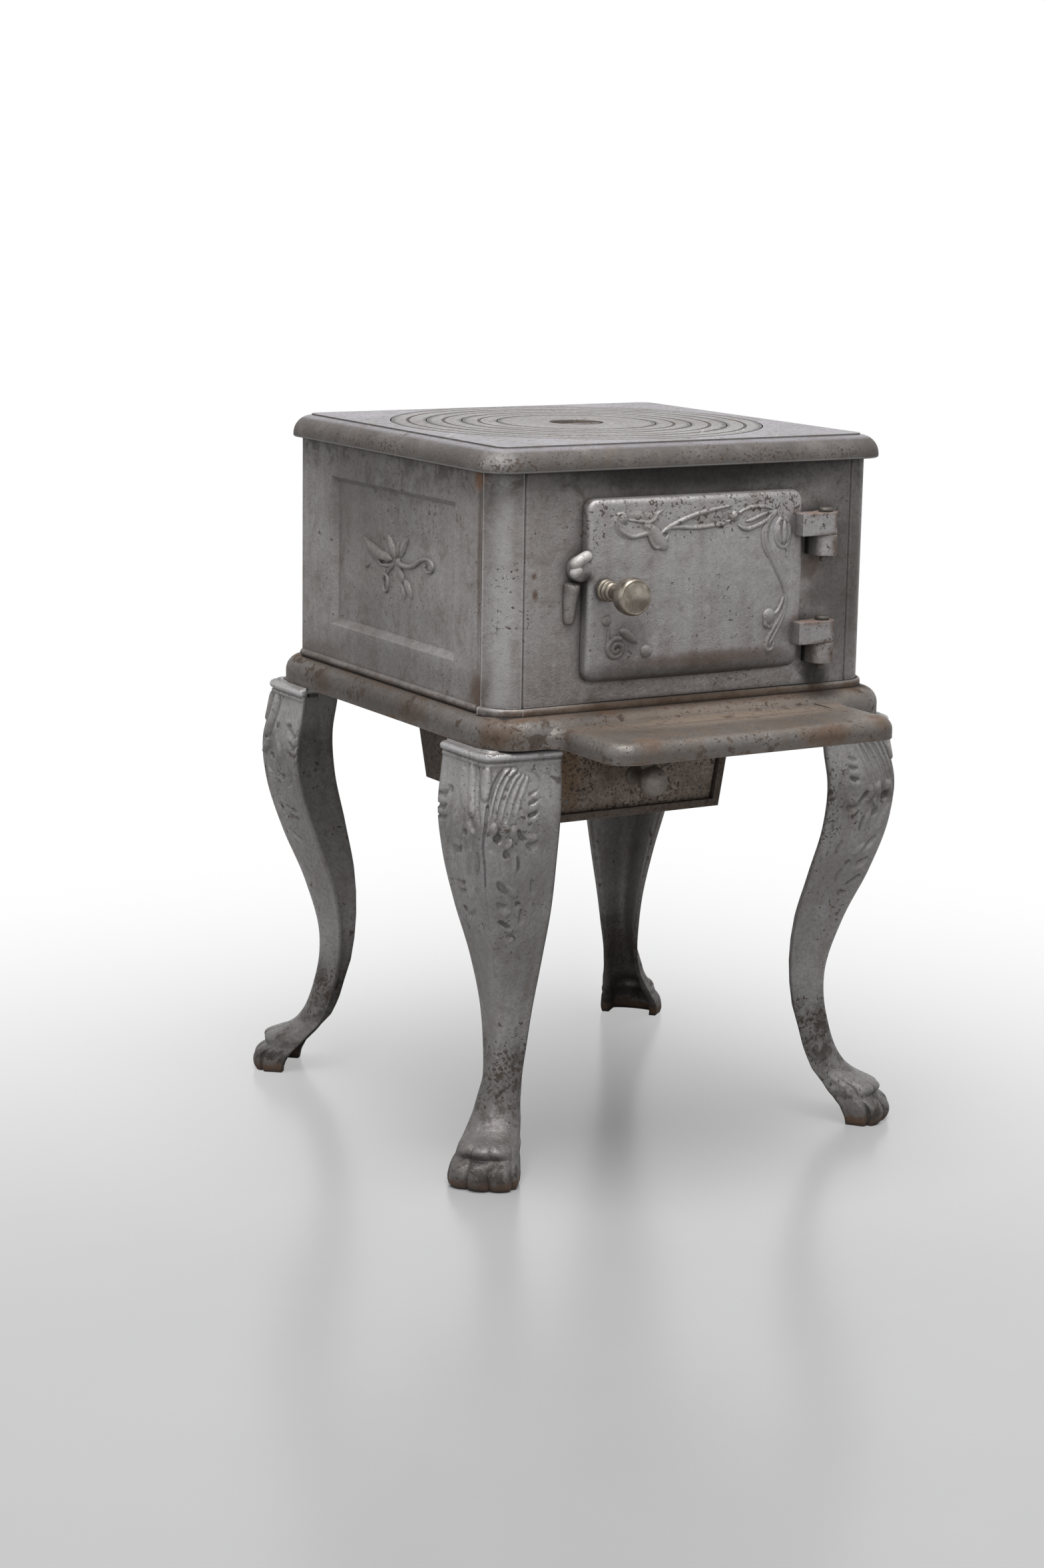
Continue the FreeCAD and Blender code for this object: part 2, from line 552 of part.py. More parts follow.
def front_plan(reach, z):
    """Plan of the front casting: a wall and two quarter-round columns, its outside moved out by 'reach'."""
    bend = math.sqrt(0.5)
    centre_x, radius, inner = HALF_BODY - COLUMN_RADIUS, COLUMN_RADIUS + reach, COLUMN_RADIUS - FRONT_WALL
    edges = []
    for r in (radius, inner):
        for side in (-1, 1):
            edges.append(Part.Arc(V(side * (centre_x + r), SEAM_Y, z),
                                  V(side * (centre_x + r * bend), SEAM_Y - r * bend, z),
                                  V(side * centre_x, SEAM_Y - r, z)).toShape())
        edges.append(Part.LineSegment(V(-centre_x, SEAM_Y - r, z), V(centre_x, SEAM_Y - r, z)).toShape())
    for side in (-1, 1):
        edges.append(Part.LineSegment(V(side * (centre_x + inner), SEAM_Y, z),
                                      V(side * (centre_x + radius), SEAM_Y, z)).toShape())
    return Part.Face(Part.Wire(Part.__sortEdges__(edges)))


def column_quirk(side):
    """A cutter for the fine groove between one corner column and the flat of the front."""
    x, half, z = side * (HALF_BODY - COLUMN_RADIUS), QUIRK_WIDTH / 2, HEARTH_TOP + FOOT_LIP_HEIGHT
    before = -BODY_FRONT - CUT
    points = [V(x - half, before, z), V(x - half, -BODY_FRONT, z), V(x, -BODY_FRONT + QUIRK_DEPTH, z),
              V(x + half, -BODY_FRONT, z), V(x + half, before, z)]
    return Part.Face(Part.makePolygon(points + points[:1])).extrude(Z * (TOP_UNDER - z + CUT))


def seam_bead(side):
    """A fine bead down the outer edge of one corner column, beside the seam."""
    x = side * (HALF_BODY + SEAM_BEAD_RISE - SEAM_BEAD_RADIUS)
    y = SEAM_Y - SEAM_BEAD_SETBACK - SEAM_BEAD_RADIUS
    return rod(SEAM_BEAD_RADIUS, V(x, y, HEARTH_TOP), V(x, y, RIM_UNDER - MOVING_GAP))


def hinge_levels():
    """Undersides of the door's two hinge arms."""
    return [DOOR_BOTTOM + LOWER_ARM_RISE, DOOR_BOTTOM + UPPER_ARM_RISE]


def front_panel():
    """The front casting with both corner columns, a foot lip, the door opening and the hinge lugs."""
    wall = front_plan(0, HEARTH_TOP).extrude(Z * (TOP_UNDER - HEARTH_TOP))
    lip = front_plan(FOOT_LIP_REACH, HEARTH_TOP).extrude(Z * FOOT_LIP_HEIGHT)
    lip_top = HEARTH_TOP + FOOT_LIP_HEIGHT
    outer = [e for e in edges_at(lip, lip_top) if e.BoundBox.YMin < -BODY_FRONT - FOOT_LIP_REACH / 2]
    lip = lip.makeFillet(FOOT_LIP_ROUND, outer)
    pieces = [lip]
    rib_x = HALF_BODY - SIDE_WALL
    for side in (-1, 1):
        x0, x1 = sorted((side * (rib_x - LAP_RIB_WALL), side * rib_x))
        pieces.append(block(x0, x1, SEAM_Y - FRONT_WALL, SEAM_Y + LAP_RIB_WIDTH, HEARTH_TOP, TOP_UNDER))
        pieces.append(seam_bead(side))
    for level in hinge_levels():
        low, high = level - MOVING_GAP - HINGE_LUG_HEIGHT, level - MOVING_GAP
        pieces.append(rod(HINGE_EYE_RADIUS, V(HINGE_X, HINGE_Y, low), V(HINGE_X, HINGE_Y, high)))
        pieces.append(block(HINGE_X - HINGE_EYE_RADIUS, HINGE_X + HINGE_EYE_RADIUS, HINGE_Y,
                            -BODY_FRONT + FRONT_WALL / 2, low, high))
    panel = joined(wall, *pieces)
    x0, x1 = DOOR_LEFT + DOOR_LAP, DOOR_RIGHT - DOOR_LAP
    z0, z1 = DOOR_BOTTOM + DOOR_LAP, DOOR_BOTTOM + DOOR_HEIGHT - DOOR_LAP
    cuts = [block(x0, x1, -BODY_FRONT - CUT, -BODY_FRONT + FRONT_WALL + CUT, z0, z1)]
    for level in hinge_levels():
        cuts.append(rod(PIN_RADIUS + FIXED_FIT, V(HINGE_X, HINGE_Y, level - 2 * HINGE_LUG_HEIGHT),
                        V(HINGE_X, HINGE_Y, level)))
    cuts += [column_quirk(-1), column_quirk(1)]
    keeper = keeper_middle()
    cuts.append(rod(KEEPER_SHANK_RADIUS + FIXED_FIT, keeper - Y * CUT, keeper + Y * (FRONT_WALL + CUT)))
    return panel.cut(Part.makeCompound(cuts))


def side_panel():
    """The right side casting: a plate with a sunk field that has bevelled edges."""
    x0, x1 = HALF_BODY - SIDE_WALL, HALF_BODY
    plate = block(x0, x1, SEAM_Y, REAR_INNER_Y, HEARTH_TOP, TOP_UNDER)

    def rectangle(x, grow):
        y0, y1 = -BODY_FRONT + FIELD_FRONT_MARGIN - grow, BODY_REAR - FIELD_REAR_MARGIN + grow
        z0, z1 = HEARTH_TOP + FIELD_BOTTOM_MARGIN - grow, RIM_UNDER - FIELD_TOP_MARGIN + grow
        return Part.makePolygon([V(x, y0, z0), V(x, y1, z0), V(x, y1, z1), V(x, y0, z1), V(x, y0, z0)])

    sink = Part.makeLoft([rectangle(x1 - FIELD_DEPTH, 0), rectangle(x1, FIELD_BEVEL)], True, True)
    back = Part.makeLoft([rectangle(x0 - FIELD_DEPTH, SIDE_WALL), rectangle(x0, FIELD_BEVEL + SIDE_WALL)],
                         True, True)
    seam = [V(x1 + CUT, SEAM_Y - CUT, HEARTH_TOP), V(x1 + CUT, SEAM_Y + SEAM_CHAMFER + CUT, HEARTH_TOP),
            V(x1 - SEAM_CHAMFER - CUT, SEAM_Y - CUT, HEARTH_TOP)]
    chamfer = Part.Face(Part.makePolygon(seam + seam[:1])).extrude(Z * (TOP_UNDER - HEARTH_TOP))
    return joined(plate, back).cut(Part.makeCompound([sink, chamfer]))


def rear_panel():
    """The rear casting, behind the side castings, with lap ribs and the flue hole."""
    plate = rounded_slab(-HALF_BODY, HALF_BODY, REAR_INNER_Y, BODY_REAR, CUT, REAR_WALL / 2,
                         HEARTH_TOP, TOP_UNDER)
    ribs = []
    rib_x = HALF_BODY - SIDE_WALL
    for side in (-1, 1):
        x0, x1 = sorted((side * (rib_x - LAP_RIB_WALL), side * rib_x))
        ribs.append(block(x0, x1, REAR_INNER_Y - LAP_RIB_WIDTH, BODY_REAR - CUT, HEARTH_TOP, TOP_UNDER))
    axis = V(0, REAR_INNER_Y - CUT, HEARTH_TOP + FLUE_RISE)
    holes = [rod(FLUE_BORE_RADIUS - FLUE_STOP, axis, axis + Y * (REAR_WALL + 2 * CUT))]
    for x, z in flue_bolt_places():
        start = V(x, REAR_INNER_Y - CUT, z)
        holes.append(rod(FLUE_BOLT_RADIUS + FIXED_FIT, start, start + Y * (REAR_WALL + 2 * CUT)))
    return joined(plate, *ribs).cut(Part.makeCompound(holes))


def flue_bolt_places():
    """Places of the flue collar's bolts, as (x, z)."""
    places = []
    for number in range(FLUE_BOLT_COUNT):
        turn = 2 * math.pi * (number + 0.5) / FLUE_BOLT_COUNT
        places.append((FLUE_BOLT_CIRCLE * math.cos(turn),
                       HEARTH_TOP + FLUE_RISE + FLUE_BOLT_CIRCLE * math.sin(turn)))
    return places


def flue_collar():
    """A flanged collar that a stove pipe pushes into."""
    face = V(0, BODY_REAR, HEARTH_TOP + FLUE_RISE)
    flange = rod(FLUE_FLANGE_RADIUS, face, face + Y * FLUE_FLANGE_WALL)
    spigot = rod(FLUE_BORE_RADIUS + FLUE_WALL, face, face + Y * FLUE_LENGTH)
    holes = [rod(FLUE_BORE_RADIUS, face - Y * CUT, face + Y * (FLUE_LENGTH + CUT))]
    for x, z in flue_bolt_places():
        start = V(x, BODY_REAR - CUT, z)
        holes.append(rod(FLUE_BOLT_RADIUS + FIXED_FIT, start, start + Y * (FLUE_FLANGE_WALL + 2 * CUT)))
    return joined(flange, spigot).cut(Part.makeCompound(holes))


def flue_fixings():
    """Bolts through the collar's flange, and the nuts on them inside."""
    bolts, nuts = [], []
    for x, z in flue_bolt_places():
        seat = V(x, BODY_REAR + FLUE_FLANGE_WALL, z)
        inner = V(x, REAR_INNER_Y, z)
        nut_height = NUT_HEIGHT_RATIO * FLUE_BOLT_RADIUS
        shank = rod(FLUE_BOLT_RADIUS, inner - Y * (nut_height + CUT), seat)
        bolts.append(joined(hexagon(FLUE_BOLT_RADIUS, seat, Y), shank))
        hole = rod(FLUE_BOLT_RADIUS + FIXED_FIT, inner - Y * (nut_height + CUT), inner + Y * CUT)
        nuts.append(hexagon(FLUE_BOLT_RADIUS, inner, Y * -1).cut(hole))
    return Part.makeCompound(bolts), Part.makeCompound(nuts)


def top_plate():
    """The top: a flat field a step above a quarter-round rim outside the body, with the seat of the rings."""
    half_width = HALF_BODY + RIM_SIDE_REACH
    front, rear = -BODY_FRONT - RIM_FRONT_REACH, BODY_REAR + RIM_REAR_REACH
    rim_top = TOP_FACE - TOP_STEP
    slab = rounded_slab(-half_width, half_width, front, rear, RIM_CORNER, RIM_CORNER, RIM_UNDER, rim_top)
    slab = slab.makeFillet(RIM_ROUND, edges_at(slab, rim_top))
    slab = slab.makeFillet(RIM_LIP_ROUND, edges_at(slab, RIM_UNDER))
    field_corner = RIM_CORNER - RIM_ROUND
    field = rounded_slab(RIM_ROUND - half_width, half_width - RIM_ROUND, front + RIM_ROUND, rear - RIM_ROUND,
                         field_corner, field_corner, TOP_UNDER, TOP_FACE)
    inside = rounded_slab(-HALF_BODY - SHELL_GAP, HALF_BODY + SHELL_GAP,
                          -BODY_FRONT - SHELL_GAP, BODY_REAR + SHELL_GAP,
                          COLUMN_RADIUS, REAR_WALL / 2, RIM_UNDER - CUT, TOP_UNDER)
    opening = rod(RING_OPENING_RADIUS, Z * SEAT_Z, Z * (TOP_FACE + CUT))
    throat = rod(RING_OPENING_RADIUS - RING_LEDGE, Z * (RIM_UNDER - CUT), Z * (TOP_FACE + CUT))
    plate = joined(slab, field).cut(inside)
    bosses = [rod(ROD_BOSS_RADIUS, V(x, y, TOP_UNDER - ROD_BOSS_DROP), V(x, y, TOP_UNDER))
              for x, y in ROD_PLACES]
    plate = joined(plate, *bosses).cut(opening).cut(throat)
    holes = [rod(ROD_RADIUS + FIXED_FIT, V(x, y, TOP_UNDER - ROD_BOSS_DROP - CUT), V(x, y, rod_end()))
             for x, y in ROD_PLACES]
    return plate.cut(Part.makeCompound(holes))


def rod_end():
    """Upper end of the tie rods, inside the top plate."""
    return TOP_UNDER + TOP_THICKNESS / 2


def tie_rods():
    """Rods that clamp the body between the hearth plate and the top, and their nuts below."""
    rods, nuts = [], []
    nut_height = NUT_HEIGHT_RATIO * ROD_RADIUS
    for x, y in ROD_PLACES:
        low = V(x, y, HEARTH_UNDER - nut_height - CUT)
        rods.append(rod(ROD_RADIUS, low, V(x, y, rod_end())))
        nut = hexagon(ROD_RADIUS, V(x, y, HEARTH_UNDER), Z * -1)
        nuts.append(nut.cut(rod(ROD_RADIUS + FIXED_FIT, low, V(x, y, HEARTH_UNDER + CUT))))
    return Part.makeCompound(rods), Part.makeCompound(nuts)


def ring_radii():
    """Radii of the joints between the rings, from the opening in to the lid."""
    step = (RING_OPENING_RADIUS - LID_RADIUS) / RING_COUNT
    return [RING_OPENING_RADIUS - step * number for number in range(RING_COUNT + 1)]


def groove(radius):
    """A ring-shaped cutter for a shallow groove in the top face."""
    half = GROOVE_WIDTH / 2
    points = [V(radius - half, 0, TOP_FACE + CUT), V(radius - half, 0, TOP_FACE),
              V(radius, 0, TOP_FACE - GROOVE_DEPTH),
              V(radius + half, 0, TOP_FACE), V(radius + half, 0, TOP_FACE + CUT)]
    return Part.Face(Part.makePolygon(points + points[:1])).revolve(V(0, 0, 0), Z, 360)


def top_ring(outer, inner):
    """One ring: it hangs on the ledge outside it and carries the next piece on its own ledge."""
    edge, nose = outer - RING_GAP, outer - RING_LEDGE - RING_GAP
    points = [V(inner, 0, TOP_FACE), V(edge, 0, TOP_FACE), V(edge, 0, SEAT_Z), V(nose, 0, SEAT_Z),
              V(nose, 0, TOP_UNDER), V(inner - RING_LEDGE, 0, TOP_UNDER), V(inner - RING_LEDGE, 0, SEAT_Z),
              V(inner, 0, SEAT_Z)]
    ring = Part.Face(Part.makePolygon(points + points[:1])).revolve(V(0, 0, 0), Z, 360)
    return ring.cut(groove((outer + inner) / 2))


def centre_lid():
    """The lid in the middle, with a dish that a lifter hooks into."""
    edge, nose = LID_RADIUS - RING_GAP, LID_RADIUS - RING_LEDGE - RING_GAP
    cup, floor = LID_DISH_RADIUS + LID_DISH_WALL, TOP_FACE - LID_DISH_DEPTH
    points = [V(0, 0, floor), V(LID_DISH_RADIUS - LID_DISH_SLOPE, 0, floor), V(LID_DISH_RADIUS, 0, TOP_FACE),
              V(edge, 0, TOP_FACE), V(edge, 0, SEAT_Z), V(nose, 0, SEAT_Z), V(nose, 0, TOP_UNDER),
              V(cup, 0, TOP_UNDER), V(cup, 0, floor - LID_DISH_WALL), V(0, 0, floor - LID_DISH_WALL)]
    lid = Part.Face(Part.makePolygon(points + points[:1])).revolve(V(0, 0, 0), Z, 360)
    end = V(LID_DISH_RADIUS + LIFT_BAR_GRIP + FIXED_FIT, 0, lift_bar_level())
    return lid.cut(rod(LIFT_BAR_RADIUS + FIXED_FIT, V(-end.x, 0, end.z), end))


def lift_bar_level():
    """Height of the bar's axis: its upper side lies just under the top face."""
    return TOP_FACE - LIFT_BAR_RADIUS - CUT


def lid_lift_bar():
    """The bar across the lid's dish."""
    end = V(LID_DISH_RADIUS + LIFT_BAR_GRIP, 0, lift_bar_level())
    return rod(LIFT_BAR_RADIUS, V(-end.x, 0, end.z), end)


def door_slab(inset, back, corner):
    """A door-shaped block with upright faces, from a plane 'back' forward past the pillow."""
    width, height = DOOR_WIDTH - 2 * inset, DOOR_HEIGHT - 2 * inset
    face = rounded_face(-width / 2, width / 2, -height / 2, height / 2, corner, corner, 0)
    slab = face.extrude(Z * (2 * DOOR_CROWN))
    slab.rotate(V(0, 0, 0), X, 90)
    slab.translate(V(DOOR_MIDDLE.x, back, DOOR_MIDDLE.z))
    return slab


def pillow(depth):
    """The ball whose skin is the pillow-shaped face, moved back by 'depth'."""
    half_diagonal = math.hypot(DOOR_WIDTH, DOOR_HEIGHT) / 2
    radius = half_diagonal ** 2 / (2 * DOOR_CAMBER)
    return Part.makeSphere(radius - depth, DOOR_MIDDLE - Y * (DOOR_CROWN - radius))


def knob_foot():
    """Where the knob's axis meets the face of the door, and the same place on its back plane."""
    plane = V(DOOR_LEFT + KNOB_INSET, DOOR_BACK_Y, DOOR_BOTTOM + KNOB_RISE)
    half_diagonal = math.hypot(DOOR_WIDTH, DOOR_HEIGHT) / 2
    radius = half_diagonal ** 2 / (2 * DOOR_CAMBER)
    off_axis = math.hypot(plane.x - DOOR_MIDDLE.x, plane.z - DOOR_MIDDLE.z)
    fall = radius - math.sqrt(radius ** 2 - off_axis ** 2)
    return plane - Y * (DOOR_CROWN - fall)


def liner_screw_places():
    """Places of the screws in the corners of the door's liner, as (x, z)."""
    x, z = DOOR_WIDTH / 2 - DOOR_BORDER - LINER_BOSS_RADIUS, DOOR_HEIGHT / 2 - DOOR_BORDER - LINER_BOSS_RADIUS
    return [(DOOR_MIDDLE.x + sx * x, DOOR_MIDDLE.z + sz * z) for sx in (-1, 1) for sz in (-1, 1)]


def fire_door():
    """The pillow-faced door with its hollow back, hinge arms, and the ear that rests over the keeper."""
    body = door_slab(0, DOOR_BACK_Y, DOOR_CORNER).common(pillow(0))
    front = [e for e in body.Edges if e.BoundBox.YMax < DOOR_BACK_Y - CUT]
    body = body.makeFillet(DOOR_EDGE_ROUND, front)
    hollow = door_slab(DOOR_BORDER, DOOR_BACK_Y + CUT, DOOR_CORNER / 2).common(pillow(DOOR_WALL))
    liner_front = DOOR_BACK_Y - LINER_SHEET
    bosses = []
    for x, z in liner_screw_places():
        post = rod(LINER_BOSS_RADIUS, V(x, liner_front, z), V(x, liner_front - DOOR_CROWN, z))
        bosses.append(post.common(pillow(DOOR_WALL / 2)))
    pieces = []
    for level in hinge_levels():
        pin = V(HINGE_X, HINGE_Y, level)
        pieces.append(rod(HINGE_EYE_RADIUS, pin, pin + Z * HINGE_ARM_HEIGHT))
        pieces.append(block(DOOR_RIGHT - HINGE_ARM_LAP, HINGE_X, HINGE_Y - HINGE_EYE_RADIUS,
                            HINGE_Y + HINGE_ARM_BACK, level, level + HINGE_ARM_HEIGHT))
    ear = V(DOOR_LEFT - EAR_REACH, DOOR_BACK_Y, DOOR_BOTTOM + EAR_RISE)
    lobe = rod(EAR_RADIUS, ear - Y * EAR_THICKNESS, ear)
    rim = [e for e in lobe.Edges if e.BoundBox.YMax < DOOR_BACK_Y - EAR_THICKNESS / 2]
    pieces.append(lobe.makeFillet(EAR_ROUND, rim))
    door = joined(body.cut(hollow), *bosses, *pieces)
    cuts = [rod(PIN_RADIUS + RUNNING_FIT, V(HINGE_X, HINGE_Y, level - CUT),
                V(HINGE_X, HINGE_Y, level + HINGE_ARM_HEIGHT + CUT)) for level in hinge_levels()]
    cuts += [rod(LINER_SCREW_RADIUS + FIXED_FIT, V(x, liner_front + CUT, z), V(x, screw_tip(), z))
             for x, z in liner_screw_places()]
    foot = knob_foot()
    cuts.append(rod(KNOB_STUD_RADIUS + FIXED_FIT, foot + Y * KNOB_STUD_DEPTH, foot - Y * DOOR_CROWN))
    return door.cut(Part.makeCompound(cuts))


def screw_tip():
    """How far forward the liner's screws reach."""
    return DOOR_BACK_Y - LINER_SHEET - LINER_SCREW_BITE


def door_liner():
    """A heat shield that closes the hollow back of the door, its screw heads sunk flush."""
    inset = DOOR_BORDER + SHELL_GAP
    sheet = door_slab(inset, DOOR_BACK_Y, DOOR_CORNER / 2)
    sheet = sheet.cut(door_slab(0, DOOR_BACK_Y - LINER_SHEET, DOOR_CORNER))
    holes = []
    for x, z in liner_screw_places():
        back = V(x, DOOR_BACK_Y, z)
        holes.append(rod(LINER_SCREW_RADIUS + FIXED_FIT, back + Y * CUT, back - Y * DOOR_CROWN))
        holes.append(rod(LINER_HEAD_RADIUS + FIXED_FIT, back + Y * CUT, back - Y * (LINER_SHEET / 2)))
    return sheet.cut(Part.makeCompound(holes))


def liner_screws():
    """Four flush-headed screws through the liner."""
    screws = []
    for x, z in liner_screw_places():
        back = V(x, DOOR_BACK_Y, z)
        head = rod(LINER_HEAD_RADIUS, back, back - Y * (LINER_SHEET / 2))
        screws.append(joined(head, rod(LINER_SCREW_RADIUS, back, V(x, screw_tip(), z))))
    return Part.makeCompound(screws)


def hinge_pins():
    """Two headed pins, tight in the lugs of the front casting and loose in the door's arms."""
    pins = []
    for level in hinge_levels():
        seat = V(HINGE_X, HINGE_Y, level + HINGE_ARM_HEIGHT + MOVING_GAP)
        tail = V(HINGE_X, HINGE_Y, level - MOVING_GAP - HINGE_LUG_HEIGHT - PIN_TAIL)
        head = rod(PIN_HEAD_RADIUS, seat, seat + Z * PIN_HEAD_HEIGHT)
        head = head.makeFillet(PIN_HEAD_HEIGHT / 2, edges_at(head, seat.z + PIN_HEAD_HEIGHT))
        pins.append(joined(rod(PIN_RADIUS, tail, seat), head))
    return Part.makeCompound(pins)


def keeper_middle():
    """Middle of the keeper's foot on the face of the front casting."""
    top = DOOR_BOTTOM + EAR_RISE - EAR_RADIUS - MOVING_GAP
    left = DOOR_LEFT - EAR_REACH - EAR_RADIUS - KEEPER_OFFSET
    return V(left + KEEPER_WIDTH / 2, -BODY_FRONT, top - KEEPER_HEIGHT / 2)


def latch_keeper():
    """The finger under the door's ear, with a shank riveted through the front casting."""
    foot = keeper_middle()
    half = KEEPER_WIDTH / 2
    finger = block(foot.x - half, foot.x + half, foot.y - KEEPER_REACH, foot.y,
                   foot.z - KEEPER_HEIGHT / 2, foot.z + KEEPER_HEIGHT / 2)
    upright = [e for e in finger.Edges if e.BoundBox.YMax < foot.y - KEEPER_REACH / 2]
    finger = finger.makeFillet(KEEPER_ROUND, upright)
    inner = foot + Y * FRONT_WALL
    shank = rod(KEEPER_SHANK_RADIUS, foot, inner)
    head = rod(KEEPER_HEAD_RADIUS, inner, inner + Y * KEEPER_HEAD_HEIGHT)
    return joined(finger, shank, head)


def door_knob():
    """The turned knob, its ringed collar against the door, and the stud that holds both."""
    foot = knob_foot()
    out = Y * -1
    neck, radius = KNOB_NECK_RADIUS, KNOB_COLLAR_RADIUS
    rings = [(KNOB_COLLAR_LENGTH * along, radius * share) for along, share in KNOB_COLLAR_PROFILE]
    collar = turned([(KNOB_SEAT, KNOB_FOOT_SHARE * radius)] + rings + [(KNOB_COLLAR_LENGTH, neck)], foot, out)
    own_length = KNOB_LENGTH - KNOB_COLLAR_LENGTH
    shares = [(along, neck * share) for along, share in KNOB_NECK_PROFILE]
    shares += [(along, KNOB_DISC_RADIUS * share) for along, share in KNOB_DISC_PROFILE]
    knob = turned([(KNOB_COLLAR_LENGTH + own_length * along, r) for along, r in shares], foot, out)
    tip = foot + out * KNOB_STUD_REACH
    stud = rod(KNOB_STUD_RADIUS, foot + Y * KNOB_STUD_DEPTH, tip)
    hole = rod(KNOB_STUD_RADIUS + FIXED_FIT, foot, tip)
    return knob.cut(hole), collar.cut(hole), stud


def trough_half_width(z):
    """Half the trough's width outside, at a height: its walls lean out."""
    lean = (TROUGH_TOP_WIDTH - TROUGH_BOTTOM_WIDTH) / (2 * TROUGH_DROP)
    return TROUGH_BOTTOM_WIDTH / 2 + lean * (z - TROUGH_BOTTOM)


def trough_bar(inset, z0, z1, y0, y1):
    """A bar with the trough's leaning sides, moved in by 'inset'."""
    a, b = trough_half_width(z0) - inset, trough_half_width(z1) - inset
    points = [V(-a, y0, z0), V(a, y0, z0), V(b, y0, z1), V(-b, y0, z1), V(-a, y0, z0)]
    return Part.Face(Part.makePolygon(points)).extrude(Y * (y1 - y0))


def trough_bolt_places():
    """Plan places of the bolts through the trough's flanges."""
    x = trough_half_width(HEARTH_UNDER) + TROUGH_FLANGE / 2
    return [(sx * x, sy * TROUGH_BOLT_SPREAD / 2) for sx in (-1, 1) for sy in (-1, 1)]


def ash_trough():
    """A trough open at the front and top, with flanges bolted under the hearth plate."""
    floor = TROUGH_BOTTOM + TROUGH_WALL
    outside = trough_bar(0, TROUGH_BOTTOM, HEARTH_UNDER, -TROUGH_FRONT, TROUGH_REAR)
    hollow = trough_bar(TROUGH_WALL, floor, LEG_HEIGHT, -TROUGH_FRONT - CUT, TROUGH_REAR - TROUGH_WALL)
    chute = trough_bar(TROUGH_WALL, LEG_HEIGHT, HEARTH_UNDER + CUT,
                       -TROUGH_FRONT + TROUGH_WALL, TROUGH_REAR - TROUGH_WALL)
    half = trough_half_width(HEARTH_UNDER)
    flange_z = HEARTH_UNDER - TROUGH_WALL
    reach_y = TROUGH_BOLT_SPREAD / 2 + TROUGH_FLANGE
    flanges = []
    for side in (-1, 1):
        x0, x1 = sorted((side * (half - TROUGH_WALL), side * (half + TROUGH_FLANGE)))
        flanges.append(block(x0, x1, -reach_y, reach_y, flange_z, HEARTH_UNDER))
    trough = joined(outside, *flanges).cut(hollow).cut(chute)
    holes = [rod(TROUGH_BOLT_RADIUS + FIXED_FIT, V(x, y, flange_z - CUT), V(x, y, HEARTH_UNDER + CUT))
             for x, y in trough_bolt_places()]
    return trough.cut(Part.makeCompound(holes))


def trough_bolts():
    """Bolts up through the trough's flanges into the hearth plate."""
    bolts = []
    for x, y in trough_bolt_places():
        seat = V(x, y, HEARTH_UNDER - TROUGH_WALL)
        shank = rod(TROUGH_BOLT_RADIUS, seat, V(x, y, HEARTH_TOP))
        bolts.append(joined(hexagon(TROUGH_BOLT_RADIUS, seat, Z * -1), shank))
    return Part.makeCompound(bolts)


def drawer_levels():
    """Floor and upper edge of the drawer."""
    return TROUGH_BOTTOM + TROUGH_WALL, LEG_HEIGHT - DRAWER_TOP_GAP


def drawer_front_y():
    """Face of the drawer's front, behind the edge of the trough."""
    return -TROUGH_FRONT + DRAWER_SETBACK


def drawer_rivet_places():
    """Places of the rivets through the drawer's front, as (x, z)."""
    low, high = drawer_levels()
    places = []
    for z in (low + DRAWER_TAB, high - DRAWER_TAB):
        half = trough_half_width(z) - TROUGH_WALL - DRAWER_GAP - DRAWER_SHEET - DRAWER_TAB
        places += [(-half, z), (half, z)]
    return places


def ash_drawer():
    """A sheet pan with a turned-in front frame, open at the top."""
    low, high = drawer_levels()
    inset = TROUGH_WALL + DRAWER_GAP
    y0, y1 = drawer_front_y() + DRAWER_FRONT_WALL, TROUGH_REAR - TROUGH_WALL - DRAWER_GAP
    outside = trough_bar(inset, low, high, y0, y1)
    hollow = trough_bar(inset + DRAWER_SHEET, low + DRAWER_SHEET, high + CUT,
                        y0 + DRAWER_SHEET, y1 - DRAWER_SHEET)
    holes = [rod(DRAWER_RIVET_RADIUS + FIXED_FIT, V(x, y0 - CUT, z), V(x, y0 + DRAWER_SHEET + CUT, z))
             for x, z in drawer_rivet_places()]
    return outside.cut(hollow).cut(Part.makeCompound(holes))


def drawer_knob_place():
    """Where the drawer's knob stands on its front."""
    return V(0, drawer_front_y(), TROUGH_BOTTOM + DRAWER_KNOB_RISE)


def drawer_front():
    """The cast front of the drawer, sunk inside the trough's edge."""
    low, high = drawer_levels()
    y0 = drawer_front_y()
    plate = trough_bar(TROUGH_WALL + DRAWER_GAP, low, high, y0, y0 + DRAWER_FRONT_WALL)
    holes = [rod(DRAWER_RIVET_RADIUS + FIXED_FIT, V(x, y0 - CUT, z), V(x, y0 + DRAWER_FRONT_WALL + CUT, z))
             for x, z in drawer_rivet_places()]
    place = drawer_knob_place()
    holes.append(rod(DRAWER_STUD_RADIUS + FIXED_FIT, place - Y * CUT, place + Y * DRAWER_STUD_DEPTH))
    return plate.cut(Part.makeCompound(holes))


def drawer_rivets():
    """Rivets that hold the sheet pan to its cast front, filed flush in front."""
    y0, y1 = drawer_front_y(), drawer_front_y() + DRAWER_FRONT_WALL + DRAWER_SHEET
    rivets = []
    for x, z in drawer_rivet_places():
        shank = rod(DRAWER_RIVET_RADIUS, V(x, y0, z), V(x, y1, z))
        head = rod(DRAWER_RIVET_HEAD, V(x, y1, z), V(x, y1 + DRAWER_RIVET_RADIUS, z))
        rivets.append(joined(shank, head))
    return Part.makeCompound(rivets)


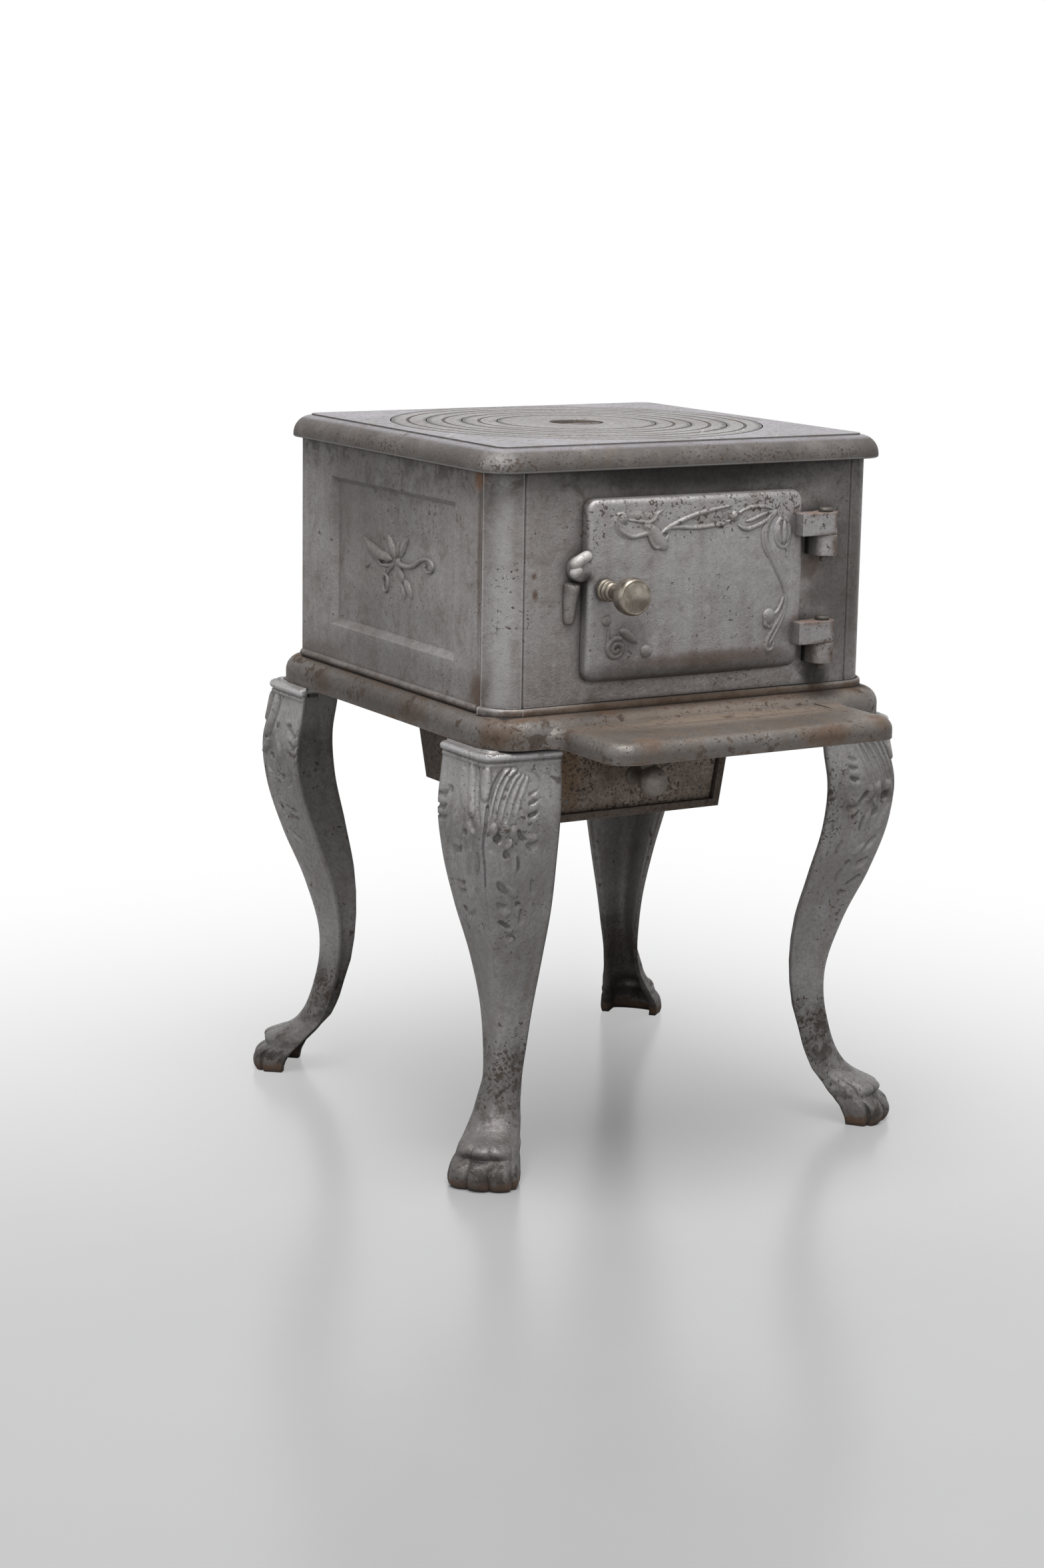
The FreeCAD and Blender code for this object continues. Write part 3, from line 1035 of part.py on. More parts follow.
def drawer_knob():
    """A small cast knob on the drawer, and its stud."""
    place = drawer_knob_place()
    out = Y * -1
    knob = turned([(DRAWER_KNOB_LENGTH * along, DRAWER_KNOB_RADIUS * share)
                   for along, share in DRAWER_KNOB_PROFILE], place, out)
    tip = place + out * DRAWER_STUD_REACH
    stud = rod(DRAWER_STUD_RADIUS, place + Y * DRAWER_STUD_DEPTH, tip)
    return knob.cut(rod(DRAWER_STUD_RADIUS + FIXED_FIT, place, tip)), stud


def fire_grate():
    """A slotted cast grate over the ash hole, lying inside the kerb."""
    half_x, half_y = ASH_HOLE_WIDTH / 2 + GRATE_LAP, ASH_HOLE_DEPTH / 2 + GRATE_LAP
    plate = block(-half_x, half_x, -half_y, half_y, HEARTH_TOP, HEARTH_TOP + GRATE_THICKNESS)
    room = 2 * (half_x - GRATE_FRAME)
    count = int((room + GRATE_BAR) // (GRATE_SLOT + GRATE_BAR))
    pitch = GRATE_SLOT + GRATE_BAR
    slots = []
    for number in range(count):
        x = pitch * (number - (count - 1) / 2)
        for y0, y1 in ((-half_y + GRATE_FRAME, -GRATE_BAR / 2), (GRATE_BAR / 2, half_y - GRATE_FRAME)):
            slots.append(block(x - GRATE_SLOT / 2, x + GRATE_SLOT / 2, y0, y1,
                               HEARTH_TOP - CUT, HEARTH_TOP + GRATE_THICKNESS + CUT))
    return plate.cut(Part.makeCompound(slots))


def build():
    """Every piece of the stove, by name, before the origin is set."""
    pieces = {"hearth_plate": hearth_plate()}
    pieces.update(legs())
    pieces["leg_bolts"] = leg_bolts()
    pieces["front_panel"] = front_panel()
    pieces["right_panel"] = side_panel()
    pieces["left_panel"] = mirrored(pieces["right_panel"])
    pieces["rear_panel"] = rear_panel()
    pieces["top_plate"] = top_plate()
    pieces["tie_rods"], pieces["tie_rod_nuts"] = tie_rods()
    radii = ring_radii()
    for name, outer, inner in zip(("outer_ring", "middle_ring", "inner_ring"), radii, radii[1:]):
        pieces[name] = top_ring(outer, inner)
    pieces["centre_lid"] = centre_lid()
    pieces["lid_lift_bar"] = lid_lift_bar()
    pieces["fire_door"] = fire_door()
    pieces["door_liner"] = door_liner()
    pieces["liner_screws"] = liner_screws()
    pieces["hinge_pins"] = hinge_pins()
    pieces["latch_keeper"] = latch_keeper()
    pieces["door_knob"], pieces["knob_collar"], pieces["knob_stud"] = door_knob()
    pieces["fire_grate"] = fire_grate()
    pieces["ash_trough"] = ash_trough()
    pieces["trough_bolts"] = trough_bolts()
    pieces["ash_drawer"] = ash_drawer()
    pieces["drawer_front"] = drawer_front()
    pieces["drawer_rivets"] = drawer_rivets()
    pieces["drawer_knob"], pieces["drawer_knob_stud"] = drawer_knob()
    pieces["flue_collar"] = flue_collar()
    pieces["flue_bolts"], pieces["flue_nuts"] = flue_fixings()
    return pieces


def main():
    """Set the origin under the middle of the stove and write one file for each piece."""
    os.makedirs("parts", exist_ok=True)
    pieces = build()
    box = Part.makeCompound(list(pieces.values())).optimalBoundingBox(False, False)
    shift = V(-box.Center.x, -box.Center.y, -box.ZMin)
    print(f"moved by {shift.x:.4f}, {shift.y:.4f}, {shift.z:.4f};",
          f"size {box.XLength:.2f} x {box.YLength:.2f} x {box.ZLength:.2f}")
    for name, shape in pieces.items():
        shape.translate(shift)
        if not shape.isValid():
            print(f"{name}: not a valid shape")
        print(f"{name}: {len(shape.Solids)} solid(s), {shape.Volume / 1000:.1f} cm3")
        shape.exportStep(f"parts/{name}.step")


main()
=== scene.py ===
# %% [markdown]
# # A small cast-iron cookstove
# The packed model gives the real sizes and the moving bodies. Everything made here is in metres in
# that same frame, so a piece can be put where the model says and then dressed up.

# %% Load the packed stove
import math
import bmesh
import bpy
import numpy as np
from mathutils import Matrix, Vector
from mathutils.bvhtree import BVHTree


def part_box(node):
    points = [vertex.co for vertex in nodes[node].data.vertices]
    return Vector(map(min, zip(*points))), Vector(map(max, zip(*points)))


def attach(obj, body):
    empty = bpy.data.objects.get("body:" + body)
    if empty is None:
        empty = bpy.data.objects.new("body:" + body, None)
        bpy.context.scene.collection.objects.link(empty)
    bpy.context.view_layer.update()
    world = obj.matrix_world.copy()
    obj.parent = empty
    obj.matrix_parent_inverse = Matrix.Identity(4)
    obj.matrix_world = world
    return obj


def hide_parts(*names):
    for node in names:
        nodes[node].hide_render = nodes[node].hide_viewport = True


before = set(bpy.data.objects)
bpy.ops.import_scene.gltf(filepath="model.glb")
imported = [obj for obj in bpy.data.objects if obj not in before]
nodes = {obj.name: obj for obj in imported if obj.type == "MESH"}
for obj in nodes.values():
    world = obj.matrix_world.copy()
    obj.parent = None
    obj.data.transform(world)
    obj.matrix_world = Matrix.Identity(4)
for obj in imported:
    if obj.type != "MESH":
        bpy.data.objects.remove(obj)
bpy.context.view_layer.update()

# %% [markdown]
# The drawing of the stove is in millimetres, with the upright line through the middle of the rings as
# its centre. One small function turns such places into the frame, so that the numbers below can be read
# as a maker would read them off a ruler.

# %% From millimetres about the rings to the frame
MM = 0.001
lid_low, lid_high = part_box("centre_lid")
RING_Y = (lid_low.y + lid_high.y) / 2


def placed(points):
    """Points in millimetres about the rings' middle, as an array in the frame."""
    moved = np.asarray(points, float) * MM
    moved[:, 1] += RING_Y
    return moved


print("rings' middle at y", round(RING_Y, 4))

# %% [markdown]
# Every new piece is a closed mesh that rides on one of the moving bodies and hides the packed part that it
# stands for. Doing this in a single function keeps any of the calls from being forgotten. It also turns all
# faces outwards, so the code that builds a shell needn't care which way round its corners run.

# %% Make one piece
def make_piece(name, points, faces, body, stands_for=()):
    """A smooth-shaded closed mesh that moves with a body."""
    mesh = bpy.data.meshes.new(name)
    mesh.from_pydata([tuple(point) for point in points], [], faces)
    mesh.validate()
    shell = bmesh.new()
    shell.from_mesh(mesh)
    bmesh.ops.recalc_face_normals(shell, faces=shell.faces[:])
    shell.to_mesh(mesh)
    shell.free()
    mesh.shade_smooth()
    made = bpy.data.objects.new(name, mesh)
    bpy.context.scene.collection.objects.link(made)
    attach(made, body)
    if stands_for:
        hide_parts(*stands_for)
    print(name, len(mesh.vertices), "points on", body)
    return made


# %% [markdown]
# A pattern maker draws a stem or a profile in one sweep of the hand. A few marks with a smooth curve through
# them do the same, and a mark that is out of place is easy to move. A Bezier curve would need handles too.

# %% Smooth lines
def smooth_line(path, steps=6):
    """A Catmull-Rom line through the marked points."""
    marks = np.asarray(path, float)
    if len(marks) < 3:
        return marks
    ends = np.vstack([2 * marks[0] - marks[1], marks, 2 * marks[-1] - marks[-2]])
    line = []
    for k in range(1, len(ends) - 2):
        p0, p1, p2, p3 = ends[k - 1:k + 3]
        for t in np.linspace(0, 1, steps, endpoint=False):
            line.append(0.5 * (2 * p1 + (p2 - p0) * t + (2 * p0 - 5 * p1 + 4 * p2 - p3) * t ** 2
                               + (3 * p1 - p0 - 3 * p2 + p3) * t ** 3))
    return np.array(line + [marks[-1]])


def ring_path(u, v, across, tall, turns=1.0, start=0.0, shrink=0.0, count=15):
    """Marks round an oval, or along a spiral if it shrinks."""
    turn = np.linspace(start, start + 2 * np.pi * turns, count)
    keep = 1 - shrink * np.linspace(0, 1, count)
    return [(u + across * k * math.cos(a), v + tall * k * math.sin(a)) for a, k in zip(turn, keep)]


print("a line of three marks has", len(smooth_line([(0, 0), (1, 1), (2, 0)])), "points")

# %% [markdown]
# Cast ornament is a set of raised strokes: stems, leaves and buds, each a rounded ridge along a line.
# A height map is the plainest way to make it: mark the line, measure how far each point of a fine grid is
# from it, and raise the point by a half-round. Strokes then melt into each other as they do in a mould.

# %% Rounded strokes
GIRTHS = {
    "stem": lambda share: 1 - 0.5 * share,
    "leaf": lambda share: np.maximum(np.sin(np.pi * share), 0.04) ** 0.75,
    "line": lambda share: np.maximum(4 * share * (1 - share), 0.02) ** 0.35,
    "roll": lambda share: 1 + 0 * share,
    "flute": lambda share: np.maximum(np.minimum(1 - share, 6 * share), 0.03) ** 0.5,
    "fold": lambda share: np.maximum(np.sin(np.pi * share), 0.04) ** 0.6,
    "bough": lambda share: 1 - 0.35 * share,
}
SOFTNESS = {"fold": 1.6, "bough": 1.1}


def stroke_height(u, v, kind, width, height, path):
    """Height of one rounded stroke over the grid points; a lone mark is a round bud."""
    line = smooth_line(path)
    if len(line) == 1:
        far = np.hypot(u - line[0][0], v - line[0][1]) / width
        return height * np.sqrt(np.clip(1 - far ** 2, 0, 1))
    rise = np.zeros_like(u)
    shares = np.linspace(0, 1, len(line))
    for k in range(len(line) - 1):
        start, run = line[k], line[k + 1] - line[k]
        low = np.minimum(start, line[k + 1]) - width
        high = np.maximum(start, line[k + 1]) + width
        near = (u > low[0]) & (u < high[0]) & (v > low[1]) & (v < high[1])
        if not near.any():
            continue
        du, dv = u[near] - start[0], v[near] - start[1]
        along = np.clip((du * run[0] + dv * run[1]) / max(run @ run, 1e-9), 0, 1)
        far = np.hypot(du - along * run[0], dv - along * run[1])
        share = shares[k] + along * (shares[k + 1] - shares[k])
        girth = width * GIRTHS[kind](share)
        round_off = np.clip(1 - (far / girth) ** 2, 0, 1) ** SOFTNESS.get(kind, 0.5)
        rise[near] = np.maximum(rise[near], round_off * (girth / width) ** 0.5)
    return height * rise


def ornament_height(u, v, strokes):
    """Raised strokes take the highest of them, then the cut ones are taken out."""
    raised = np.zeros_like(u)
    cut = np.zeros_like(u)
    for kind, width, height, path in strokes:
        rise = stroke_height(u, v, kind, width, abs(height), path)
        if height > 0:
            raised = np.maximum(raised, rise)
        else:
            cut = np.maximum(cut, rise)
    return raised - cut


def bolder(strokes, wider, taller):
    """The same strokes with other proportions."""
    return [(kind, width * wider, height * taller, path) for kind, width, height, path in strokes]


print("stroke kinds", sorted(GIRTHS))

# %% [markdown]
# The relief has to lie on a curved casting. It could be projected with a modifier, but rays are plainer: they
# are sent at the packed model to find its surface at every grid point. Only the cells that carry ornament are
# kept, and they get a back and sides, a little under the casting's skin, so the patch is a closed solid.

# %% Relief patch on a casting
GRID_STEP = 0.55
BARE = 0.02
RELIEF_SINK = 0.35
RELIEF_ROOT = 2.0
DEPSGRAPH = bpy.context.evaluated_depsgraph_get()


def unpinched(cells):
    """Fills in beside cells that only meet at a corner, where a closed shell would pinch."""
    while True:
        rising = cells[:-1, :-1] & cells[1:, 1:] & ~cells[1:, :-1] & ~cells[:-1, 1:]
        falling = cells[1:, :-1] & cells[:-1, 1:] & ~cells[:-1, :-1] & ~cells[1:, 1:]
        if not (rising | falling).any():
            return cells
        cells[1:, :-1] |= rising
        cells[:-1, :-1] |= falling


def relief_patch(name, node, look, span, rise, strokes, body):
    """Ornament on a node, seen along 'look'; span and rise are the patch's limits in millimetres."""
    u, v = np.meshgrid(np.arange(span[0], span[1] + GRID_STEP, GRID_STEP),
                       np.arange(rise[0], rise[1] + GRID_STEP, GRID_STEP), indexing="ij")
    height = ornament_height(u, v, strokes)
    raised = height > BARE
    cell = unpinched(raised[:-1, :-1] | raised[1:, :-1] | raised[:-1, 1:] | raised[1:, 1:])
    corner = np.zeros_like(raised)
    for used in (corner[:-1, :-1], corner[1:, :-1], corner[:-1, 1:], corner[1:, 1:]):
        used |= cell
    depth = 1 if look[1] else 0
    places = np.stack([u, u, v], axis=-1)
    places = placed(places.reshape(-1, 3)).reshape(places.shape)
    places[..., depth] = -look[depth]
    tree, toward = BVHTree.FromObject(nodes[node], DEPSGRAPH), Vector(look)
    number = -np.ones(u.shape, int)
    fronts, backs = [], []
    for i, j in zip(*np.nonzero(corner)):
        hit = tree.ray_cast(Vector(places[i, j]), toward)[0]
        if hit is not None:
            number[i, j] = len(fronts)
            fronts.append(hit - toward * (height[i, j] - RELIEF_SINK) * MM)
            backs.append(hit + toward * RELIEF_ROOT * MM)
    count = len(fronts)
    faces, edges = [], {}
    for i, j in zip(*np.nonzero(cell)):
        loop = [number[i, j], number[i + 1, j], number[i + 1, j + 1], number[i, j + 1]]
        if min(loop) >= 0:
            faces += [loop, [k + count for k in loop]]
            edges.update(dict.fromkeys(zip(loop, loop[1:] + loop[:1])))
    faces += [[a, b, b + count, a + count] for a, b in edges if (b, a) not in edges]
    return make_piece(name, fronts + backs, faces, body)


print("depth of a patch in the casting", RELIEF_ROOT, "mm")

# %% [markdown]
# The door carries a whiplash vine: a curl and a knot at the top left, a long slim leaf, a flower of three
# petals in an oval, a bough that swings down the hinge side and a small spiral at the bottom left. Each line
# below is one stroke: its kind, half width and height, and its marks across and up the door in millimetres.

# %% The vine on the door
DOOR_VINE = [
    ("stem", 2.0, 1.5, [(-50, 490.5), (-55, 489.2), (-63, 488.2), (-72, 492.5), (-76.5, 499), (-74.5, 505),
                        (-69, 505), (-67.5, 501)]),
    ("fold", 6.2, 0.9, [(-70, 507), (-75, 500), (-71, 493), (-62, 490), (-51, 492.5)]),
    ("fold", 4.6, 0.7, [(-67, 504), (-58, 503.6), (-48, 502.6), (-40, 506.6)]),
    ("leaf", 3.6, 1.7, [(-70.5, 501.8)]),
    ("line", 1.5, 1.2, [(-66, 500.5), (-58, 499.6), (-49.5, 498.2), (-44, 500.5), (-41, 504.5),
                        (-36, 507.3)]),
    ("leaf", 5.2, 2.0, [(-54, 497.5), (-46, 491.5), (-38, 482), (-33, 479)]),
    ("line", 1.7, 1.7, [(-51, 493), (-47.5, 484.5), (-43, 479.2), (-37, 482), (-32.5, 489)]),
    ("line", 1.7, 1.5, [(-42, 486), (-33.4, 493.2), (-15.7, 500.2), (0.7, 504.3), (25.9, 507.9)]),
    ("line", 1.6, 1.5, [(-35, 489.5), (-28.6, 493.6), (-6, 492.7), (17.3, 494.6), (25.8, 498.3)]),
    ("leaf", 5.0, 0.55, [(-33, 492.5), (-10, 497.3), (10, 500), (25, 502.5)]),
    ("leaf", 3.8, 2.2, [(27.5, 499.6)]),
    ("line", 1.5, 1.3, [(29, 500), (37, 504), (45, 505.6), (56, 505.4), (66.3, 503.1)]),
    ("line", 1.9, 1.6, [(31, 492.8), (36, 490), (43, 489.8), (55.5, 494), (66, 500.2)]),
    ("line", 1.6, 1.3, [(38, 495), (46, 496.5), (56, 500), (66, 502)]),
    ("bough", 3.1, 1.4, [(66.3, 500.5), (60.5, 494.5), (57.8, 487), (57.6, 480), (60, 473), (63, 467),
                         (67, 460), (70.6, 454), (74.5, 447.5), (77.5, 441), (79, 434), (77.5, 426),
                         (73.5, 418.5), (68, 411), (63.5, 404), (61.5, 398), (63.5, 394.5), (68, 395.2),
                         (68.8, 399)]),
    ("line", 1.2, 1.0, [(64, 497), (56.5, 491), (54.2, 484), (55.3, 475), (60, 466)]),
    ("roll", 1.6, 0.9, ring_path(74.8, 484.5, 7.8, 11)),
    ("leaf", 2.7, 1.6, [(71.6, 494), (69.6, 485), (73, 475)]),
    ("leaf", 2.9, 2.0, [(75.6, 495), (76, 485), (74.6, 474.6)]),
    ("leaf", 2.4, 1.5, [(79.2, 492), (80.6, 484.5), (77.2, 476)]),
    ("line", 1.4, 1.2, [(77, 474), (79.5, 470), (78, 465.5)]),
    ("leaf", 5.6, 2.0, [(62.8, 421)]),
    ("line", 1.9, 1.5, [(58.6, 419), (60, 414), (65.5, 412)]),
    ("line", 1.5, 1.7, [(76, 435), (73.5, 429), (70.4, 424.3), (65, 421)]),
    ("line", 1.5, 1.5, [(80.5, 429), (75.5, 417), (68, 404.6), (63.5, 398)]),
    ("roll", 1.9, 1.6, ring_path(-74.4, 404.4, 8.2, 8.2, turns=1.7, start=1.2, shrink=0.8, count=24)),
    ("leaf", 3.2, 1.5, [(-73, 417.8), (-68, 416.5), (-62, 412), (-56.5, 408)]),
    ("line", 1.4, 1.1, [(-81.5, 421.5), (-81.5, 414), (-82, 406)]),
    ("leaf", 3.7, 1.9, [(-83.3, 426.2)]),
    ("leaf", 4.5, 2.1, [(-48.8, 401.4)]),
]
door_vine = relief_patch("door_vine", "fire_door", (0, 1, 0), span=(-92, 90), rise=(386, 511),
                         strokes=bolder(DOOR_VINE, wider=1.12, taller=1.35), body="door")

# %% [markdown]
# Each side casting has a loose flower in its sunk field, softened by many coats of stove polish. The same
# strokes serve both sides: only the direction that the patch is seen from changes.

# %% The flowers on the sides
SIDE_FLOWER = [
    ("leaf", 3.2, 1.4, [(-9.4, 453.2)]),
    ("leaf", 3.5, 1.6, [(-6, 456), (0.5, 463), (7.7, 473.5)]),
    ("leaf", 3.3, 1.5, [(-12, 457), (-17.5, 465), (-25, 474.5)]),
    ("leaf", 2.3, 1.1, [(-9, 457), (-8, 463), (-9, 469.5)]),
    ("leaf", 5.0, 1.9, [(0, 454), (8.9, 454.8), (20, 454.8), (31.7, 458), (40, 461.5), (49, 467)]),
    ("line", 1.3, -1.2, [(11, 451.6), (15, 450.6), (20, 451.4)]),
    ("line", 1.8, 1.4, [(-3, 451), (8, 448.6), (18, 448.8), (30, 452.8), (41, 458.5)]),
    ("roll", 1.4, 1.3, ring_path(11.5, 434.6, 4.2, 6.8)),
    ("line", 1.4, 1.1, [(9.5, 441.5), (5, 446), (-2, 450)]),
    ("leaf", 3.1, 1.4, [(-11, 450), (-15, 443.5), (-18, 438.5)]),
    ("leaf", 3.7, 1.5, [(-20, 441), (-25, 435.5), (-32, 427)]),
    ("leaf", 2.9, 1.2, [(-14, 438), (-18, 430.5), (-20, 425.5)]),
    ("stem", 2.1, 1.6, [(-13, 452), (-20.5, 451.4), (-28, 452), (-35.6, 454), (-42, 457.4), (-47.8, 459.6),
                        (-55, 461), (-61.2, 459.8), (-64.8, 456), (-62.4, 452.2), (-56.5, 451.2),
                        (-52.5, 453.5), (-53.5, 456)]),
    ("leaf", 2.0, 1.0, [(38, 447), (43, 444.5), (48, 444)]),
]
flowers = []
for side, look in (("left", (1, 0, 0)), ("right", (-1, 0, 0))):
    flowers.append(relief_patch("flower_" + side, side + "_panel", look, span=(-70, 54), rise=(420, 480),
                                strokes=bolder(SIDE_FLOWER, wider=1.15, taller=1.75), body="stove"))

# %% [markdown]
# A leg is one casting: a folded wall like a corner moulding, wide at the knee, drawn in at the ankle and
# ending in a paw. It could be sculpted, but a grid is easier to steer: rows go down the leg, columns go
# across the fold, and a table of stations gives the bow, the depth and the width at each height.

# %% Stations of a leg
LEG_TALL = 335.0
KNEE = {"bow": 0.5, "depth": 44.0, "half": 47.0}
ANKLE = {"bow": -49.5, "depth": 22.0, "half": 16.0}
STATIONS = np.array([
    (1.0, 0.21, 0.18, 0.10), (0.93, 0.13, 0.10, 0.03), (0.85, 0.0, 0.0, 0.0), (0.745, 0.06, 0.0, 0.10),
    (0.62, 0.34, 0.10, 0.31), (0.49, 0.74, 0.46, 0.62), (0.35, 1.0, 0.91, 0.90), (0.25, 0.94, 1.0, 1.0),
    (0.16, 0.69, 0.98, 1.0), (0.087, 0.35, 1.0, 1.0), (0.0, 0.30, 1.0, 1.0)])[::-1]
# height, front, widest place and back along the diagonal, half width, depth of the grooves between toes
PAW = np.array([
    (0, 4.0, -10, -24.0, 27.2, 3.6), (3, 6.4, -10, -24.3, 28.4, 4.4), (7, 7.7, -10, -25.2, 28.7, 4.8),
    (11.5, 7.4, -10.5, -27.5, 28.0, 4.8), (16, 4.8, -12.5, -30, 26.9, 4.0),
    (19, 1.0, -15.5, -33, 25.6, 2.6), (21.5, -3.6, -19, -35.3, 24.2, 1.4), (24, -2.2, -22, -37.8, 24.2, 2.4),
    (27, -0.8, -24.5, -40.5, 24.0, 3.2), (30, -2.4, -27.5, -43, 22.8, 3.0), (32.5, -7.5, -31, -45, 21.9, 2.2),
    (35, -15, -35, -47.3, 21.2, 1.4), (38, -21.5, -39, -50, 20.4, 0.8), (42, -27.5, -43.5, -53.6, 19.4, 0.4),
    (48, -33, -48.5, -57, 18.0, 0.2), (55, -37.6, -52, -60.5, 17.0, 0.0), (62, -41, -55, -63.6, 16.6, 0.0),
    (72, -44.8, -58, -66, 16.3, 0.0), (84, -47.4, -60, -68.6, 16.6, 0.0),
    (340, -47.4, -60, -68.6, 16.6, 0.0)])
TOES = ((0.0, 20.0), (45.0, 25.0))
FRONT_SHARE = 0.64


def eased(values, marks, column):
    """A smooth curve through one column of a table, for the given heights."""
    x, y = marks[:, 0], marks[:, column]
    slope = np.gradient(y, x)
    k = np.clip(np.searchsorted(x, values) - 1, 0, len(x) - 2)
    gap = x[k + 1] - x[k]
    t = np.clip((values - x[k]) / gap, 0, 1)
    return ((2 * t ** 3 - 3 * t ** 2 + 1) * y[k] + (t ** 3 - 2 * t ** 2 + t) * gap * slope[k]
            + (3 * t ** 2 - 2 * t ** 3) * y[k + 1] + (t ** 3 - t ** 2) * gap * slope[k + 1])


def step_up(values, low, high):
    """0 below low, 1 above high, eased between; low may be the larger."""
    t = np.clip((values - low) / (high - low), 0, 1)
    return t * t * (3 - 2 * t)


print("leg", LEG_TALL, "mm tall,", len(STATIONS), "stations")

# %% [markdown]
# The carving on the knee is an acanthus leaf folded over the ridge: a fan of flutes towards the front and
# two towards the side, a lobed edge with drilled eyes, then softer leaves that die away down the shank.
# Each wing is drawn in distances from the ridge and below the top.

# %% The leaf on the knee
FRONT_LEAF = [
    ("line", 3.2, 2.5, [(0.4, 12), (0.5, 22), (0.3, 36)]),
    ("line", 1.6, -1.5, [(12.6, 13.4), (8.4, 19.5), (4.8, 28), (2.6, 41)]),
    ("flute", 2.0, 2.2, [(18.4, 13.2), (13.8, 15.8), (10, 21), (7.2, 29), (5.4, 40), (4.8, 50)]),
    ("flute", 2.2, 2.4, [(24.6, 14), (19.4, 16.6), (15.4, 21.5), (12.2, 29), (9.6, 40), (8.2, 54)]),
    ("flute", 2.1, 1.8, [(27.8, 17.6), (23.2, 20.5), (19.2, 27), (16.2, 36), (14, 47), (13, 56)]),
    ("flute", 2.3, 1.4, [(30.8, 18.8), (27.4, 23), (24.2, 31), (21.2, 42), (19.2, 56)]),
    ("flute", 2.4, 1.3, [(34, 20), (32, 26), (29.2, 35), (26.6, 46), (24.8, 58)]),
    ("line", 1.3, -0.7, [(35.5, 16), (40.5, 17.5), (44.5, 22), (45.5, 27)]),
    ("line", 1.5, -1.1, [(36, 33.6), (40, 32.6), (43.6, 30.6)]),
    ("fold", 3.4, 0.6, [(35.6, 36.4), (40.4, 36.4), (44.6, 34.4)]),
    ("line", 1.6, -1.4, [(36.4, 40.4), (40.6, 39.8), (44.6, 38)]),
    ("fold", 3.6, 0.7, [(35.8, 44.2), (41, 44.4), (45.2, 42.4)]),
    ("line", 2.0, -2.1, [(36.8, 49), (41, 48.8), (45, 46.8)]),
    ("fold", 3.8, 0.8, [(35.6, 53), (41.4, 53.8), (45.6, 51)]),
    ("fold", 4.6, 2.4, [(9, 52), (8.4, 57), (9.6, 61)]),
    ("fold", 4.4, 2.2, [(17.5, 52), (18.5, 58), (17, 63)]),
    ("line", 4.4, -3.6, [(8.6, 65), (14.2, 62.8)]),
    ("line", 2.2, -2.5, [(28.8, 59.5), (31, 63.6), (34.6, 67.6)]),
    ("line", 1.9, 2.4, [(21.6, 65), (21.4, 69), (17.6, 72.6)]),
    ("fold", 4.2, 1.8, [(26, 55), (25, 61), (27.5, 67)]),
    ("fold", 4.6, -2.6, [(36, 71), (41, 73.5), (46, 70)]),
    ("fold", 4.4, 1.5, [(36.5, 65), (41.5, 67.5), (46.5, 64.5)]),
    ("fold", 4.0, -2.6, [(17, 74.5), (20.5, 80.5)]),
    ("fold", 5.0, 1.3, [(22, 76), (25, 84), (25.4, 93)]),
    ("line", 1.6, -2.0, [(27.6, 80), (28.6, 86), (28, 92)]),
    ("fold", 5.0, 1.5, [(5.5, 72), (8, 83), (12.5, 93)]),
    ("fold", 4.0, -2.4, [(10, 98), (13.5, 104), (18.5, 109)]),
    ("fold", 4.2, 1.8, [(17.5, 103), (22, 109), (25.5, 113)]),
    ("leaf", 2.5, -2.2, [(26.4, 119)]),
    ("fold", 3.6, -2.0, [(40, 100), (41.5, 106), (39.5, 112)]),
    ("fold", 4.0, -2.3, [(8.5, 116), (12, 120), (17.5, 119.5)]),
    ("fold", 3.6, 1.2, [(10, 124), (14.5, 126.5), (19.5, 124)]),
    ("line", 1.9, -2.2, [(8, 131), (12.5, 134.6), (18, 139)]),
    ("fold", 3.4, -2.1, [(13.5, 145), (17, 146.5), (20.5, 143.5)]),
    ("fold", 3.4, -1.8, [(30, 124), (29, 131), (26.5, 137)]),
]
SIDE_LEAF = [
    ("line", 3.0, 2.5, [(0.4, 12), (0.4, 22), (0.3, 36)]),
    ("line", 1.3, -1.9, [(5.8, 12), (5.6, 26), (4.4, 40), (2.2, 52)]),
    ("line", 2.5, 3.0, [(11.2, 11.5), (11.0, 22), (10.2, 36), (8.0, 49)]),
    ("line", 1.5, -1.8, [(15.0, 12), (14.8, 26), (13.4, 42), (10.4, 53)]),
    ("fold", 6.0, 1.4, [(21, 14), (20, 30), (16.5, 46)]),
    ("leaf", 3.0, -2.8, [(32.5, 35)]),
    ("line", 2.0, -2.4, [(36.5, 37), (40, 41.4), (43.5, 39.5)]),
    ("line", 2.0, -2.4, [(37, 46.5), (41, 51), (45, 48.5)]),
    ("line", 1.8, -2.0, [(36.5, 55.5), (41, 58.6), (44.5, 56.5)]),
    ("line", 2.4, 3.0, [(11.2, 49), (10.2, 56), (6.2, 62)]),
    ("line", 2.8, -2.6, [(15, 61), (18.5, 64)]),
    ("fold", 5.0, 1.8, [(24, 50), (25, 60), (21, 69)]),
    ("line", 2.2, -2.4, [(20.5, 74.5), (24.5, 79.5), (28.5, 76)]),
    ("fold", 4.2, -2.0, [(36.5, 71), (34, 79), (29.5, 86)]),
    ("line", 1.8, -2.0, [(5, 75), (4.4, 84), (5.6, 93)]),
    ("fold", 4.6, 1.6, [(10, 74), (14, 84), (14.5, 95)]),
    ("line", 1.9, -2.2, [(20.5, 103.5), (24.5, 107), (29, 105)]),
    ("line", 1.8, -2.0, [(21, 111), (25, 114), (28.5, 112)]),
    ("fold", 4.2, 1.6, [(8, 104), (12, 112), (17, 117)]),
    ("fold", 3.6, -1.9, [(12, 125), (17, 131), (23, 133)]),
]
SIDE_SPREAD = 1.45
